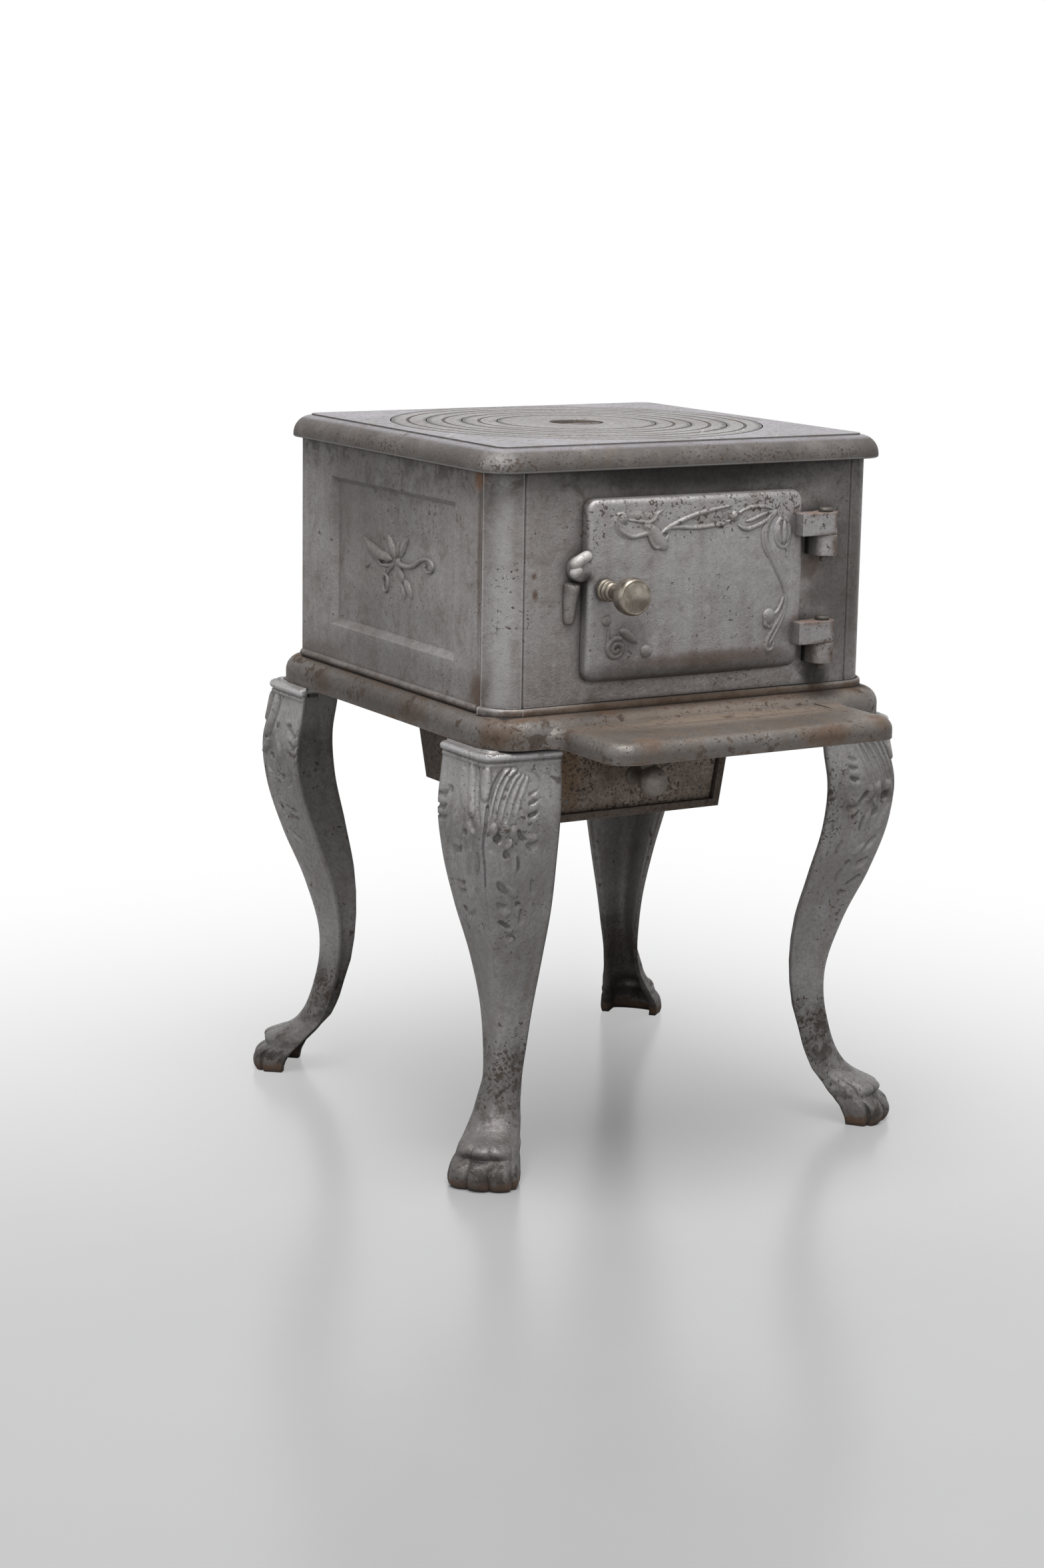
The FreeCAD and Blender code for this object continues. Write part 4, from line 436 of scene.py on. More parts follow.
RIDGE_GROOVE = ("stem", 1.5, -1.9, [(-2.2, 40), (-1.2, 56), (0.8, 70), (-0.3, 86), (0.2, 102)])
RIDGE_LINE = ("line", 0.8, -0.5, [(0, 100), (0.4, 130), (0, 168)])
# place below the top, half width and height of the two mouldings that run across the leg
BEAD, FILLET = (4.9, 3.3, 3.4), (10.2, 1.5, 1.1)
BORDER = {"tall": 0.9, "from_edge": (6.4, 4.2), "fade": (265, 235)}
NECK = {"deep": 2.2, "drop": (0.7, 1.9)}


def half_round(drop, middle, half, tall):
    """A round moulding that runs across the leg, at a distance below its top."""
    return tall * np.sqrt(np.clip(1 - ((drop - middle) / half) ** 2, 0, 1))


def leg_carving(reach, drop):
    """Height of everything cast on a leg, by distance from the ridge and below the top."""
    from_edge = np.abs(reach[:, [-1]]) - np.abs(reach)
    border = BORDER["tall"] * step_up(from_edge, *BORDER["from_edge"]) * step_up(drop, *BORDER["fade"])
    front = ornament_height(-reach, drop, FRONT_LEAF)
    side = ornament_height(reach / SIDE_SPREAD, drop, SIDE_LEAF)
    groove = ornament_height(reach, drop, [RIDGE_GROOVE, RIDGE_LINE])
    bead, fillet = half_round(drop, *BEAD), half_round(drop, *FILLET)
    neck = -NECK["deep"] * (1 - step_up(drop, *NECK["drop"]))
    return np.where(reach < 0, front, side) + groove + bead + fillet + neck + border


print("strokes on a knee", len(FRONT_LEAF), "and", len(SIDE_LEAF))

# %% [markdown]
# The outside is worked out first: the fold with a rounded ridge, which turns into a round paw with three
# toes near the floor. Its normals then say which way to push the carving. The inside is a coarser grid a
# wall's thickness behind, and strips along the four borders close the casting.

# %% One leg
# start and end of each zone below the leg's top, and its number of rows
LEG_ZONES = [(0, 13, 14), (13, 165, 166), (165, 270, 22), (270, 291, 14), (291, 318, 48), (318, LEG_TALL, 16)]
LEG_ROWS = np.append(np.concatenate([np.linspace(*zone, endpoint=False) for zone in LEG_ZONES]), LEG_TALL)
LEG_COLUMNS = np.concatenate([np.linspace(0, 0.72, 57)[:-1], np.linspace(0.72, 1, 9)])
LEG_COLUMNS = np.concatenate([-LEG_COLUMNS[:0:-1], LEG_COLUMNS])
INSIDE_EVERY = 4
WALL, RIM_WALL, RIDGE_THICKER = 6.0, 3.6, 1.15
RIDGE_EASE = {"outside": 0.13, "inside": 0.32, "ankle": 0.4}
ANKLE_ZONE, PAW_ZONE = (190, 90), (92, 50)
PAW_SIDE = {"tall": 0.75, "turn": (70, 90)}
HEEL_IN = 0.06


def fold_height(share, ease):
    """Depth of the fold across the wing, its ridge rounded by 'ease'."""
    return (np.sqrt(share ** 2 + ease ** 2) - ease) / (np.sqrt(1 + ease ** 2) - ease)


def leg_shell(inside):
    """(bow, across, z) of the outer or inner skin before carving, as grids of rows by columns."""
    drop, share = np.meshgrid(LEG_ROWS, LEG_COLUMNS, indexing="ij")
    z = LEG_TALL - drop
    level = z / LEG_TALL
    bow, depth, half = (KNEE[key] + eased(level, STATIONS, k + 1) * (ANKLE[key] - KNEE[key])
                        for k, key in enumerate(("bow", "depth", "half")))
    slant = np.hypot(depth, half)
    ease = RIDGE_EASE["inside" if inside else "outside"] + RIDGE_EASE["ankle"] * step_up(z, *ANKLE_ZONE)
    rim = np.abs(share) ** 2
    fold_wall, edge_wall = WALL * slant / half * RIDGE_THICKER, RIM_WALL * half / slant
    thick = fold_wall * (1 - rim) + edge_wall * rim if inside else 0.0
    fold_bow = bow - depth * fold_height(share, ease) - thick
    fold_across = share * (half - (RIM_WALL * depth / slant if inside else 0.0))
    front, widest, back, wide, groove = (eased(z, PAW, k) for k in range(1, 6))
    turn = np.clip(np.abs(share) / FRONT_SHARE, 0, 1) * 90
    toe = np.zeros_like(turn)
    for middle, spread in TOES:
        toe = np.maximum(toe, np.sqrt(np.clip(1 - ((turn - middle) / spread) ** 2, 0, 1)))
    toe = np.maximum(toe, PAW_SIDE["tall"] * step_up(turn, *PAW_SIDE["turn"]))
    taken = (groove + WALL) if inside else groove * (1 - toe)
    behind = np.clip((np.abs(share) - FRONT_SHARE) / (1 - FRONT_SHARE), 0, 1)
    arc = np.radians(turn)
    paw_bow = widest + (front - widest - taken) * np.cos(arc) + (back - widest) * behind
    trim = (RIM_WALL - WALL) * behind if inside else 0.0
    paw_across = np.sign(share) * (wide - taken - trim) * np.sin(arc) * (1 - HEEL_IN * behind)
    roundness = step_up(z, *PAW_ZONE)
    return (fold_bow * (1 - roundness) + paw_bow * roundness,
            fold_across * (1 - roundness) + paw_across * roundness, z)


def plan_points(bow, across, z):
    """Along and across the diagonal to plan places about the leg's square corner."""
    u, v = bow / math.sqrt(2), across / math.sqrt(2)
    return np.stack([u + v, v - u, z], axis=-1)


def outward(skin):
    """Unit normals of a grid skin."""
    normal = np.cross(np.gradient(skin, axis=1), np.gradient(skin, axis=0))
    normal /= np.maximum(np.linalg.norm(normal, axis=-1, keepdims=True), 1e-9)
    return normal


outer = plan_points(*leg_shell(False))
inner = plan_points(*leg_shell(True))[::INSIDE_EVERY, ::INSIDE_EVERY]
RIDGE_COLUMN, KNEE_ROW = len(LEG_COLUMNS) // 2, 100
normals = outward(outer)
if normals[KNEE_ROW, RIDGE_COLUMN, 0] < 0:
    normals = -normals
steps_across = np.linalg.norm(np.diff(outer, axis=1), axis=-1)
reach = np.concatenate([np.zeros((len(LEG_ROWS), 1)), np.cumsum(steps_across, axis=1)], axis=1)
reach -= reach[:, [RIDGE_COLUMN]]
drop = np.repeat(LEG_ROWS[:, None], len(LEG_COLUMNS), axis=1)
outer = outer + normals * leg_carving(reach, drop)[..., None]
outer[..., 2] = np.clip(outer[..., 2], 0, LEG_TALL)
print("leg grid", outer.shape, "inside", inner.shape)

# %% [markdown]
# One pattern makes all four legs, as in a foundry: it is mirrored for the other corners. A pad under the top
# of each leg takes the bolt from the hearth. Two helpers number the faces of a grid of points and of rings
# that are stacked like coins, and the knobs, the keeper and the latch use them again further down.

# %% The four legs
PAD = [(-7, 12), (-12, 7), (-49, 7), (-52, 10), (-52, 48), (-48, 52), (-10, 52), (-7, 49)]
PAD_LEVELS = [(327.0, 1.2), (328.2, 0.0), (334.9, 0.0)]
CORNERS = {end + "_" + side: (x, y) for end, y in (("front", -187), ("rear", 184))
           for side, x in (("left", -188), ("right", 188))}


def grid_faces(numbers):
    """Quads between the neighbours in a grid of point numbers."""
    corners = (numbers[:-1, :-1], numbers[:-1, 1:], numbers[1:, 1:], numbers[1:, :-1])
    return np.stack(corners, axis=-1).reshape(-1, 4).tolist()


def ring_faces(rings, steps, first=0):
    """Faces of stacked rings, closed at both ends; 'first' is the number of the first point."""
    numbers = first + np.arange(rings * steps).reshape(rings, steps)
    return grid_faces(np.hstack([numbers, numbers[:, :1]])) + [numbers[0].tolist(), numbers[-1].tolist()]


def leg_faces():
    """Outer quads, inner quads and strips along the four borders between them."""
    skin = np.arange(outer[..., 0].size).reshape(outer.shape[:2])
    lining = skin.size + np.arange(inner[..., 0].size).reshape(inner.shape[:2])
    faces = grid_faces(skin) + grid_faces(lining)
    for fine, coarse in zip((skin[0], skin[-1], skin[:, 0], skin[:, -1]),
                            (lining[0], lining[-1], lining[:, 0], lining[:, -1])):
        for k in range(len(coarse) - 1):
            strip = fine[k * INSIDE_EVERY:(k + 1) * INSIDE_EVERY + 1]
            faces.append([*strip.tolist(), int(coarse[k + 1]), int(coarse[k])])
    return faces


def pad_points():
    """A pad with a chamfered lower edge, as rings of points."""
    middle = np.mean(PAD, axis=0)
    away = np.array(PAD) - middle
    far = np.linalg.norm(away, axis=1, keepdims=True)
    return np.concatenate([np.column_stack([middle + away * (1 - shrink / far), np.full(len(PAD), z)])
                           for z, shrink in PAD_LEVELS])


skin_points = np.concatenate([outer.reshape(-1, 3), inner.reshape(-1, 3)])
pattern = np.concatenate([skin_points, pad_points()])
pattern_faces = leg_faces() + ring_faces(len(PAD_LEVELS), len(PAD), len(skin_points))
legs = []
for corner, (x, y) in CORNERS.items():
    turned = pattern * (math.copysign(1, x), -math.copysign(1, y), 1) + (x, y, 0)
    legs.append(make_piece("carved_leg_" + corner, placed(turned), pattern_faces, "stove",
                           ["leg_" + corner]))

# %% [markdown]
# Turned pieces, such as the plated knob with its ringed collar and the little iron knob of the drawer,
# are lathe work: a profile of distance along the axis and radius, spun round in fine steps. A Screw modifier
# would do it too, but points worked out here need nothing to be applied.

# %% Turned knobs
LATHE_STEPS = 56


def turned_piece(name, node, profile, body):
    """Spins a profile, in shares of length and radius, about the node's own axis out of the front."""
    low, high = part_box(node)
    middle_x, middle_z = (low.x + high.x) / 2, (low.z + high.z) / 2
    radius, length = (high.x - low.x) / 2, high.y - low.y
    rows = smooth_line(profile, 5)
    points = [(middle_x + radius * out * math.cos(turn), high.y - length * along,
               middle_z + radius * out * math.sin(turn))
              for along, out in rows for turn in np.linspace(0, 2 * np.pi, LATHE_STEPS, endpoint=False)]
    return make_piece(name, points, ring_faces(len(rows), LATHE_STEPS), body, [node])


knob = turned_piece("plated_knob", "door_knob", [
    (0.0, 0.36), (0.1, 0.33), (0.2, 0.34), (0.32, 0.4), (0.42, 0.56), (0.49, 0.78), (0.55, 0.92),
    (0.62, 0.985), (0.7, 1.0), (0.8, 1.0), (0.87, 0.985), (0.92, 0.94), (0.945, 0.88), (0.94, 0.83),
    (0.945, 0.77), (0.965, 0.6), (0.985, 0.36), (0.998, 0.16), (1.0, 0.02)], "door")
collar = turned_piece("ringed_collar", "knob_collar", [
    (0.0, 0.86), (0.03, 0.93), (0.1, 0.99), (0.2, 1.0), (0.29, 0.96), (0.34, 0.86), (0.37, 0.79),
    (0.41, 0.8), (0.46, 0.9), (0.54, 0.94), (0.62, 0.9), (0.67, 0.78), (0.7, 0.72), (0.74, 0.74),
    (0.8, 0.82), (0.87, 0.84), (0.94, 0.78), (1.0, 0.66)], "door")
small_knob = turned_piece("cast_drawer_knob", "drawer_knob", [
    (0.0, 0.66), (0.04, 0.64), (0.12, 0.52), (0.28, 0.43), (0.42, 0.44), (0.52, 0.56), (0.6, 0.8),
    (0.67, 0.96), (0.76, 1.0), (0.84, 0.95), (0.91, 0.78), (0.96, 0.5), (0.99, 0.22), (1.0, 0.02)],
    "drawer")

# %% [markdown]
# The door is held by an ear that rests over a keeper, a little cast finger that is round at the top and drawn
# thin towards its tip. It is lofted from ovals, inside the space that the model gives it: a table of shares
# of that space is easier to set than a sculpted lump.

# %% Latch keeper
FRONT_WALL = -171.0
FINGER_STEPS, FINGER_HALF, FINGER_LEAN = 28, 0.44, 0.1
FINGER_BACK = {"sink": 0.6, "bulge": 0.4}
FINGER = [(0.0, 0.10, 0.16), (0.03, 0.26, 0.34), (0.10, 0.34, 0.44), (0.3, 0.39, 0.52), (0.5, 0.44, 0.6),
          (0.68, 0.5, 0.72), (0.8, 0.56, 0.86), (0.88, 0.55, 0.92), (0.94, 0.46, 0.86), (0.98, 0.3, 0.66),
          (1.0, 0.1, 0.3)]


def keeper_finger():
    """Ovals stacked from the pointed tip to the round head, flat against the front casting."""
    low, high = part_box("latch_keeper")
    wall_y = RING_Y + FRONT_WALL * MM
    width, tall, deep = high.x - low.x, high.z - low.z, wall_y - low.y
    rows = smooth_line(FINGER, 4)
    points = []
    for share, half, out in rows:
        middle = low.x + width * (FINGER_HALF + FINGER_LEAN * share)
        for k in range(FINGER_STEPS):
            turn = 2 * math.pi * k / FINGER_STEPS
            sink = FINGER_BACK["sink"] * MM * (math.sin(turn) > 0)
            bulge = FINGER_BACK["bulge"] * MM if math.sin(turn) >= 0 else deep * out
            points.append((middle + width * min(half, FINGER_HALF) * math.cos(turn),
                           wall_y + sink + bulge * math.sin(turn), low.z + tall * share))
    return make_piece("keeper_finger", points, ring_faces(len(rows), FINGER_STEPS), "stove",
                      ["latch_keeper"])


keeper = keeper_finger()

# %% [markdown]
# The hook on the keeper, the lumps of the ear and the round moulding at the foot of each side are beans: a
# circle carried along a line and drawn in at both ends. A bevelled curve would leave the ends flat.

# %% Keeper's hook, latch ear and side feet
BEAN_ROWS, BEAN_STEPS, BEAN_ENDS = 18, 20, (0.05, 0.95)
SIDE_FOOT = {"x": 169.4, "z": 360.0, "front": -146, "rear": 149.5, "girth": 3.3}


def front_of(node, x, z):
    """How far forward a node's front is at a place, in millimetres about the rings."""
    start = Vector(placed([(x, -1000, z)])[0])
    hit = BVHTree.FromObject(nodes[node], DEPSGRAPH).ray_cast(start, Vector((0, 1, 0)))[0]
    return (hit.y - RING_Y) / MM


def unit(vectors):
    return vectors / np.linalg.norm(vectors, axis=1, keepdims=True)


def bean(path, girth):
    """Points of a rounded lump along a line, ring by ring."""
    line = smooth_line(path, 10)
    spread = (1 - np.cos(np.pi * np.linspace(*BEAN_ENDS, BEAN_ROWS))) / 2
    pick = spread * (len(line) - 1)
    middle = np.stack([np.interp(pick, np.arange(len(line)), line[:, k]) for k in range(3)], axis=1)
    along = unit(np.gradient(middle, axis=0))
    aside = unit(np.cross(along, (0, 0, 1) if abs(along[0][1]) > 0.9 else (0, 1, 0)))
    ahead = np.cross(aside, along)
    length = np.linalg.norm(np.diff(line, axis=0), axis=1).sum()
    from_end = np.minimum(spread, 1 - spread) * length
    radius = girth * np.sqrt(np.clip(1 - np.clip(1 - from_end / girth, 0, 1) ** 2, 0.01, 1))
    return [middle[k] + radius[k] * (math.cos(turn) * aside[k] + math.sin(turn) * ahead[k])
            for k in range(BEAN_ROWS) for turn in np.linspace(0, 2 * np.pi, BEAN_STEPS, endpoint=False)]


def lumps(name, beans, body):
    """Several rounded lumps as one piece."""
    points, faces = [], []
    for path, girth in beans:
        faces += ring_faces(BEAN_ROWS, BEAN_STEPS, len(points))
        points += bean(path, girth)
    return make_piece(name, placed(points), faces, body)


keeper_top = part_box("latch_keeper")[1].z / MM
hook = lumps("keeper_hook", [([(-108, -174, keeper_top - 3.4), (-105, -175, keeper_top - 2.4),
                               (-101.6, -174.5, keeper_top - 2.6)], 2.0)], "stove")
ear_front = front_of("fire_door", -102.5, 465)
ear = lumps("latch_ear", [
    ([(-112.5, ear_front + 2.2, 467), (-107.5, ear_front + 0.8, 471.5), (-101.5, ear_front + 1.0, 474.5),
      (-96.5, ear_front + 3.5, 475.5)], 4.3),
    ([(-104.6, ear_front + 0.6, 466.6), (-109.4, ear_front + 0.8, 464),
      (-111.8, ear_front + 2.4, 460)], 4.1)], "door")
side_feet = []
for side, way in (("left", -1), ("right", 1)):
    run = [(way * SIDE_FOOT["x"], y, SIDE_FOOT["z"]) for y in (SIDE_FOOT["front"], 0, SIDE_FOOT["rear"])]
    side_feet.append(lumps("side_foot_" + side, [(run, SIDE_FOOT["girth"])], "stove"))

# %% [markdown]
# ## Finishes
# Materials are built from nodes in code. A bench holds one node tree and has a short word for each kind of
# node that comes back again and again, so that a finish reads like a recipe: times, plus, eased, tinted.

# %% The bench
class Bench:
    """One node tree, of a material, a group or the world."""

    def __init__(self, tree):
        self.tree = tree

    def add(self, kind, inputs=None, **settings):
        """A shader node with its settings and sockets filled by values or links."""
        made = self.tree.nodes.new("ShaderNode" + kind)
        for key, value in settings.items():
            setattr(made, key, value)
        for key, value in (inputs or {}).items():
            if isinstance(value, bpy.types.NodeSocket):
                self.tree.links.new(value, made.inputs[key])
            else:
                made.inputs[key].default_value = value
        return made

    def calc(self, operation, a, b=0.0, clamp=False):
        return self.add("Math", {0: a, 1: b}, operation=operation, use_clamp=clamp).outputs[0]

    def times(self, a, b, clamp=False):
        return self.calc("MULTIPLY", a, b, clamp)

    def plus(self, a, b, clamp=False):
        return self.calc("ADD", a, b, clamp)

    def minus(self, a, b, clamp=False):
        return self.calc("SUBTRACT", a, b, clamp)

    def most(self, a, b):
        return self.calc("MAXIMUM", a, b)

    def vector(self, operation, *inputs, output=0):
        return self.add("VectorMath", dict(enumerate(inputs)), operation=operation).outputs[output]

    def length(self, vector):
        return self.vector("LENGTH", vector, output="Value")

    def dot(self, a, b):
        return self.vector("DOT_PRODUCT", a, b, output="Value")

    def eased(self, value, low, high, out_low=0.0, out_high=1.0):
        """Eases a value between two limits; low may be the larger."""
        inputs = {"Value": value, "From Min": low, "From Max": high, "To Min": out_low, "To Max": out_high}
        return self.add("MapRange", inputs, interpolation_type="SMOOTHSTEP").outputs[0]

    def mixed(self, factor, a, b):
        """Colour a, or b where the factor is 1; colours as (r, g, b)."""
        a, b = (c if isinstance(c, bpy.types.NodeSocket) else (*c, 1) for c in (a, b))
        return self.add("Mix", {0: factor, 6: a, 7: b}, data_type="RGBA").outputs[2]

    def tinted(self, colour, mask, strength, tint):
        """The colour with a tint over it where the mask is, as strong as given."""
        return self.mixed(self.times(mask, strength), colour, tint)

    def spot(self):
        """Where a point of the surface is in the frame, in metres, at rest."""
        return self.add("TexCoord").outputs["Object"]

    def facing(self):
        """Which way the surface faces, at rest."""
        return self.add("TexCoord").outputs["Normal"]

    def axes(self, vector):
        return self.add("SeparateXYZ", {0: vector}).outputs

    def noise(self, where, scale, detail=4.0, rough=0.55, warp=0.0):
        inputs = {"Vector": where, "Scale": scale, "Detail": detail, "Roughness": rough, "Distortion": warp}
        return self.add("TexNoise", inputs).outputs[0]

    def use(self, group, **inputs):
        """Places a group with its own values."""
        inputs = {label.capitalize(): value for label, value in inputs.items()}
        return self.add("Group", inputs, node_tree=group).outputs

    def give(self, outputs, **values):
        """Links values to the outputs of a group."""
        for label, value in values.items():
            self.tree.links.new(value, outputs[label.replace("_", " ")])


print("bench words", [word for word in vars(Bench) if not word.startswith("_")])

# %% [markdown]
# Effects that several finishes share, such as grain, rust and rubbed edges, are node groups. A group is made
# once, with named inputs, and each material places it with its own values.

# %% An empty group
def new_group(name, inputs, outputs):
    """A node group with named number inputs and outputs, and the bench to fill it on."""
    group = bpy.data.node_groups.new(name, "ShaderNodeTree")
    for label, value in inputs.items():
        group.interface.new_socket(label, in_out="INPUT", socket_type="NodeSocketFloat").default_value = value
    for label, kind in outputs.items():
        group.interface.new_socket(label, in_out="OUTPUT", socket_type="NodeSocket" + kind)
    print("group", name, "puts out", list(outputs))
    given, out = group.nodes.new("NodeGroupInput").outputs, group.nodes.new("NodeGroupOutput").inputs
    return group, Bench(group), given, out


# %% [markdown]
# Sand-cast iron is never smooth: it has a fine grain from the sand and softer swellings. This group gives
# a height for the bump and a tone that lightens the high grains.

# %% Group: sand-cast skin
cast_skin, bench, given, out = new_group("cast_skin", {"Grain": 1.0, "Swell": 1.0},
                                         {"Height": "Float", "Tone": "Float"})
here = bench.spot()
fine = bench.noise(here, 820, 3, 0.65)
soft = bench.noise(here, 110, 4, 0.55)
swell = bench.times(bench.times(soft, given["Swell"]), 2.2)
height = bench.plus(bench.times(fine, given["Grain"]), swell)
bench.give(out, Height=height, Tone=bench.eased(fine, 0.35, 0.7))

# %% [markdown]
# Old stove polish never wears evenly. Four noises of different size serve as masks: broad clouds, ragged
# blotches as wide as a thumb, a mottle of a few millimetres, and faint runs down the upright faces.

# %% Group: mottled polish
mottled_polish, bench, given, out = new_group("mottled_polish", {"Scale": 9.0}, {
    "Cloud": "Float", "Blotch": "Float", "Mottle": "Float", "Runs": "Float"})
here = bench.spot()
drawn_down = bench.vector("MULTIPLY", here, (90, 90, 7))
bench.give(out, Cloud=bench.eased(bench.noise(here, given["Scale"], 6, 0.6, 0.4), 0.32, 0.68),
           Blotch=bench.eased(bench.noise(here, 46, 8, 0.72, 0.5), 0.47, 0.7),
           Mottle=bench.eased(bench.noise(here, 300, 4, 0.68, 0.3), 0.38, 0.68),
           Runs=bench.eased(bench.noise(drawn_down, 1.0, 5, 0.6), 0.38, 0.75))

# %% [markdown]
# Rust blooms where water sits. 'Where' says how likely it is at a place, and a ragged noise decides the
# edge, so a band along a joint breaks up into tongues and spots instead of a painted stripe.

# %% Group: rust bloom
rust_bloom, bench, given, out = new_group("rust_bloom", {"Where": 0.0, "Scale": 60.0, "Spread": 0.3},
                                          {"Mask": "Float", "Heart": "Float"})
ragged = bench.noise(bench.spot(), given["Scale"], 8, 0.66, 0.3)
level = bench.plus(bench.plus(ragged, given["Where"]), given["Spread"])
bench.give(out, Mask=bench.eased(level, 0.92, 1.22), Heart=bench.eased(level, 1.12, 1.5))

# %% [markdown]
# Small ragged pits of rust, one to three millimetres wide, pepper the door and the rim. The peaks of a fine
# noise are the pits, and a broad noise crowds them in some places and thins them out in others.

# %% Group: rust pits
rust_pits, bench, given, out = new_group("rust_pits", {"Scale": 330.0, "Crowd": 0.4}, {"Mask": "Float"})
here = bench.spot()
ragged = bench.noise(here, given["Scale"], 3, 0.6, 0.2)
patchy = bench.times(bench.minus(bench.noise(here, 17, 4, 0.6), 0.5), 0.45)
level = bench.plus(bench.plus(ragged, patchy), given["Crowd"])
bench.give(out, Mask=bench.eased(level, 1.05, 1.13))

# %% [markdown]
# Edges that hands and pans rub shine brighter, and corners darken: with dirt that nobody reaches, and
# with painted shade where the occlusion is deep. A Bevel node rounds the normal near an edge, so the turn
# between it and the true normal marks the edge; an Ambient Occlusion node finds the corners.

# %% Group: rubbed edges, and dirt and painted shade in corners
rubbed_edges, bench, given, out = new_group(
    "rubbed_edges", {"Radius": 0.0016, "Reach": 0.014, "Crease": 0.0035},
    {"Edge": "Float", "Corner": "Float", "Soft normal": "Vector"})
soft_normal = bench.add("Bevel", {"Radius": given["Radius"]}, samples=4).outputs[0]
turn = bench.dot(soft_normal, bench.add("NewGeometry").outputs["Normal"])
closed, tight = (bench.add("AmbientOcclusion", {"Distance": given[label]}, samples=4).outputs["AO"]
                 for label in ("Reach", "Crease"))
edge = bench.times(bench.eased(turn, 0.985, 0.85), bench.eased(closed, 0.55, 0.95))
# Darkness in corners from both occlusion nodes: dirt, and painted shade.
dirt = bench.most(bench.eased(closed, 0.72, 0.25), bench.eased(tight, 0.86, 0.5))
bench.give(out, Edge=edge, Corner=dirt, Soft_normal=soft_normal)

# %% [markdown]
# Inside, the castings are black with soot. The firebox is a plain box in the frame, so a mask by position
# and by which way the skin faces is enough: soot lies on what looks at the middle of the fire. Place and
# direction are both read at rest, so the soot stays with the door when that swings.

# %% Group: soot of the firebox
FIREBOX_LOW, FIREBOX_HIGH = placed([(-167, -176, 352), (167, 149, 549.5)])
SOOT_EDGE = 0.002
fire_soot, bench, given, out = new_group("fire_soot", {"Strength": 1.0}, {"Mask": "Float"})
here = bench.spot()
inward = bench.vector("SUBTRACT", tuple((FIREBOX_LOW + FIREBOX_HIGH) / 2), here)
inside = bench.times(given["Strength"], bench.eased(bench.dot(bench.facing(), inward), 0.0, 0.01))
for along, low, high in zip(bench.axes(here), FIREBOX_LOW, FIREBOX_HIGH):
    inside = bench.times(inside, bench.eased(along, low - SOOT_EDGE, low + SOOT_EDGE))
    inside = bench.times(inside, bench.eased(along, high + SOOT_EDGE, high - SOOT_EDGE))
bench.give(out, Mask=inside)

# %% [markdown]
# The flat top is scraped by pans and rings. Three stretched noises at a slant give broken scratches.

# %% Group: pan scratches
pan_scratches, bench, given, out = new_group("pan_scratches", {"Amount": 0.5}, {"Mask": "Float"})
here = bench.spot()
lines = 0.0
for slant, x, y in ((0.5, 14, 700), (-0.9, 11, 620), (1.9, 9, 800)):
    slanted = bench.add("VectorRotate", {"Vector": here, "Angle": slant}, rotation_type="Z_AXIS").outputs[0]
    thin = bench.noise(bench.vector("MULTIPLY", slanted, (x, y, 1)), 1.0, 2, 0.5)
    lines = bench.most(lines, bench.eased(thin, 0.66, 0.74))
patchy = bench.eased(bench.noise(here, 22, 3), 0.42, 0.6)
bench.give(out, Mask=bench.times(bench.times(lines, patchy), given["Amount"]))

# %% [markdown]
# Rust and dirt keep to places: along a joint, in a patch, round a ring; so do the painted shade and
# highlights. Three small functions turn such a place into a mask: a band is a place on one axis with a reach,
# a stain is a ragged oval, and a joint of the rings is a circle.

# %% Places of rust, dirt and painted light
RUST = (0.115, 0.066, 0.038)
ORANGE = (0.27, 0.12, 0.045)
TAN = (0.235, 0.175, 0.13)
RED = (0.2, 0.122, 0.086)
BROWN = (0.13, 0.098, 0.074)
PIT = (0.066, 0.046, 0.034)
# This dark colour is dirt in joints and stains, and painted shade where it darkens corners, the band under
# the rim, the side fields and the faces turned to the stove's middle.
DIRT_AND_SHADE = (0.045, 0.038, 0.034)
FLAKE = (0.075, 0.05, 0.036)
# This near-black is smoke over the door together with the rim's painted shadow, and a stain under the lower
# hinge.
SMOKE_AND_SHADE = (0.022, 0.02, 0.019)
SOOT = (0.012, 0.011, 0.0105)
X, Y, Z = 0, 1, 2
JOINT_DIRT = {"reach": 0.0046, "heart": 0.0013, "strength": 0.95}


def near_bands(bench, axes, bands):
    """The strongest of several bands; each is (axis, place in mm, reach in mm, strength)."""
    where = 0.0
    for axis, place, reach_mm, strength in bands:
        middle = float(placed([(place, place, place)])[0][axis])
        away = bench.calc("ABSOLUTE", bench.minus(axes[axis], middle))
        where = bench.most(where, bench.eased(away, reach_mm * MM, 0.0, 0.0, strength))
    return where


def stain_mask(bench, here, middle, radii, rag):
    """A ragged oval stain about a place in millimetres."""
    offset = bench.vector("SUBTRACT", here, tuple(placed([middle])[0]))
    scaled = bench.vector("MULTIPLY", offset, tuple(1 / (radius * MM) for radius in radii))
    return bench.eased(bench.plus(bench.length(scaled), rag), 1.0, 0.25)


def level_run(bench, start, end):
    """From one place to another, without the height."""
    return bench.vector("MULTIPLY", bench.vector("SUBTRACT", end, start), (1, 1, 0))


def ring_joints(bench, here, radii):
    """1 on the circles where the rings meet, in metres about the rings' middle."""
    out = bench.length(level_run(bench, (0, RING_Y, 0), here))
    where = 0.0
    for radius in radii:
        away = bench.calc("ABSOLUTE", bench.minus(out, radius))
        dirt = bench.eased(away, JOINT_DIRT["reach"], JOINT_DIRT["heart"], 0.0, JOINT_DIRT["strength"])
        where = bench.most(where, dirt)
    return where


print("colours of age", {"rust": RUST, "dirt": DIRT_AND_SHADE, "soot": SOOT})

# %% [markdown]
# Every finish starts as an empty material and ends in the same shader with a bump. It then goes on its
# pieces, packed or new. Three helpers do this, so that a recipe holds nothing but the finish itself.

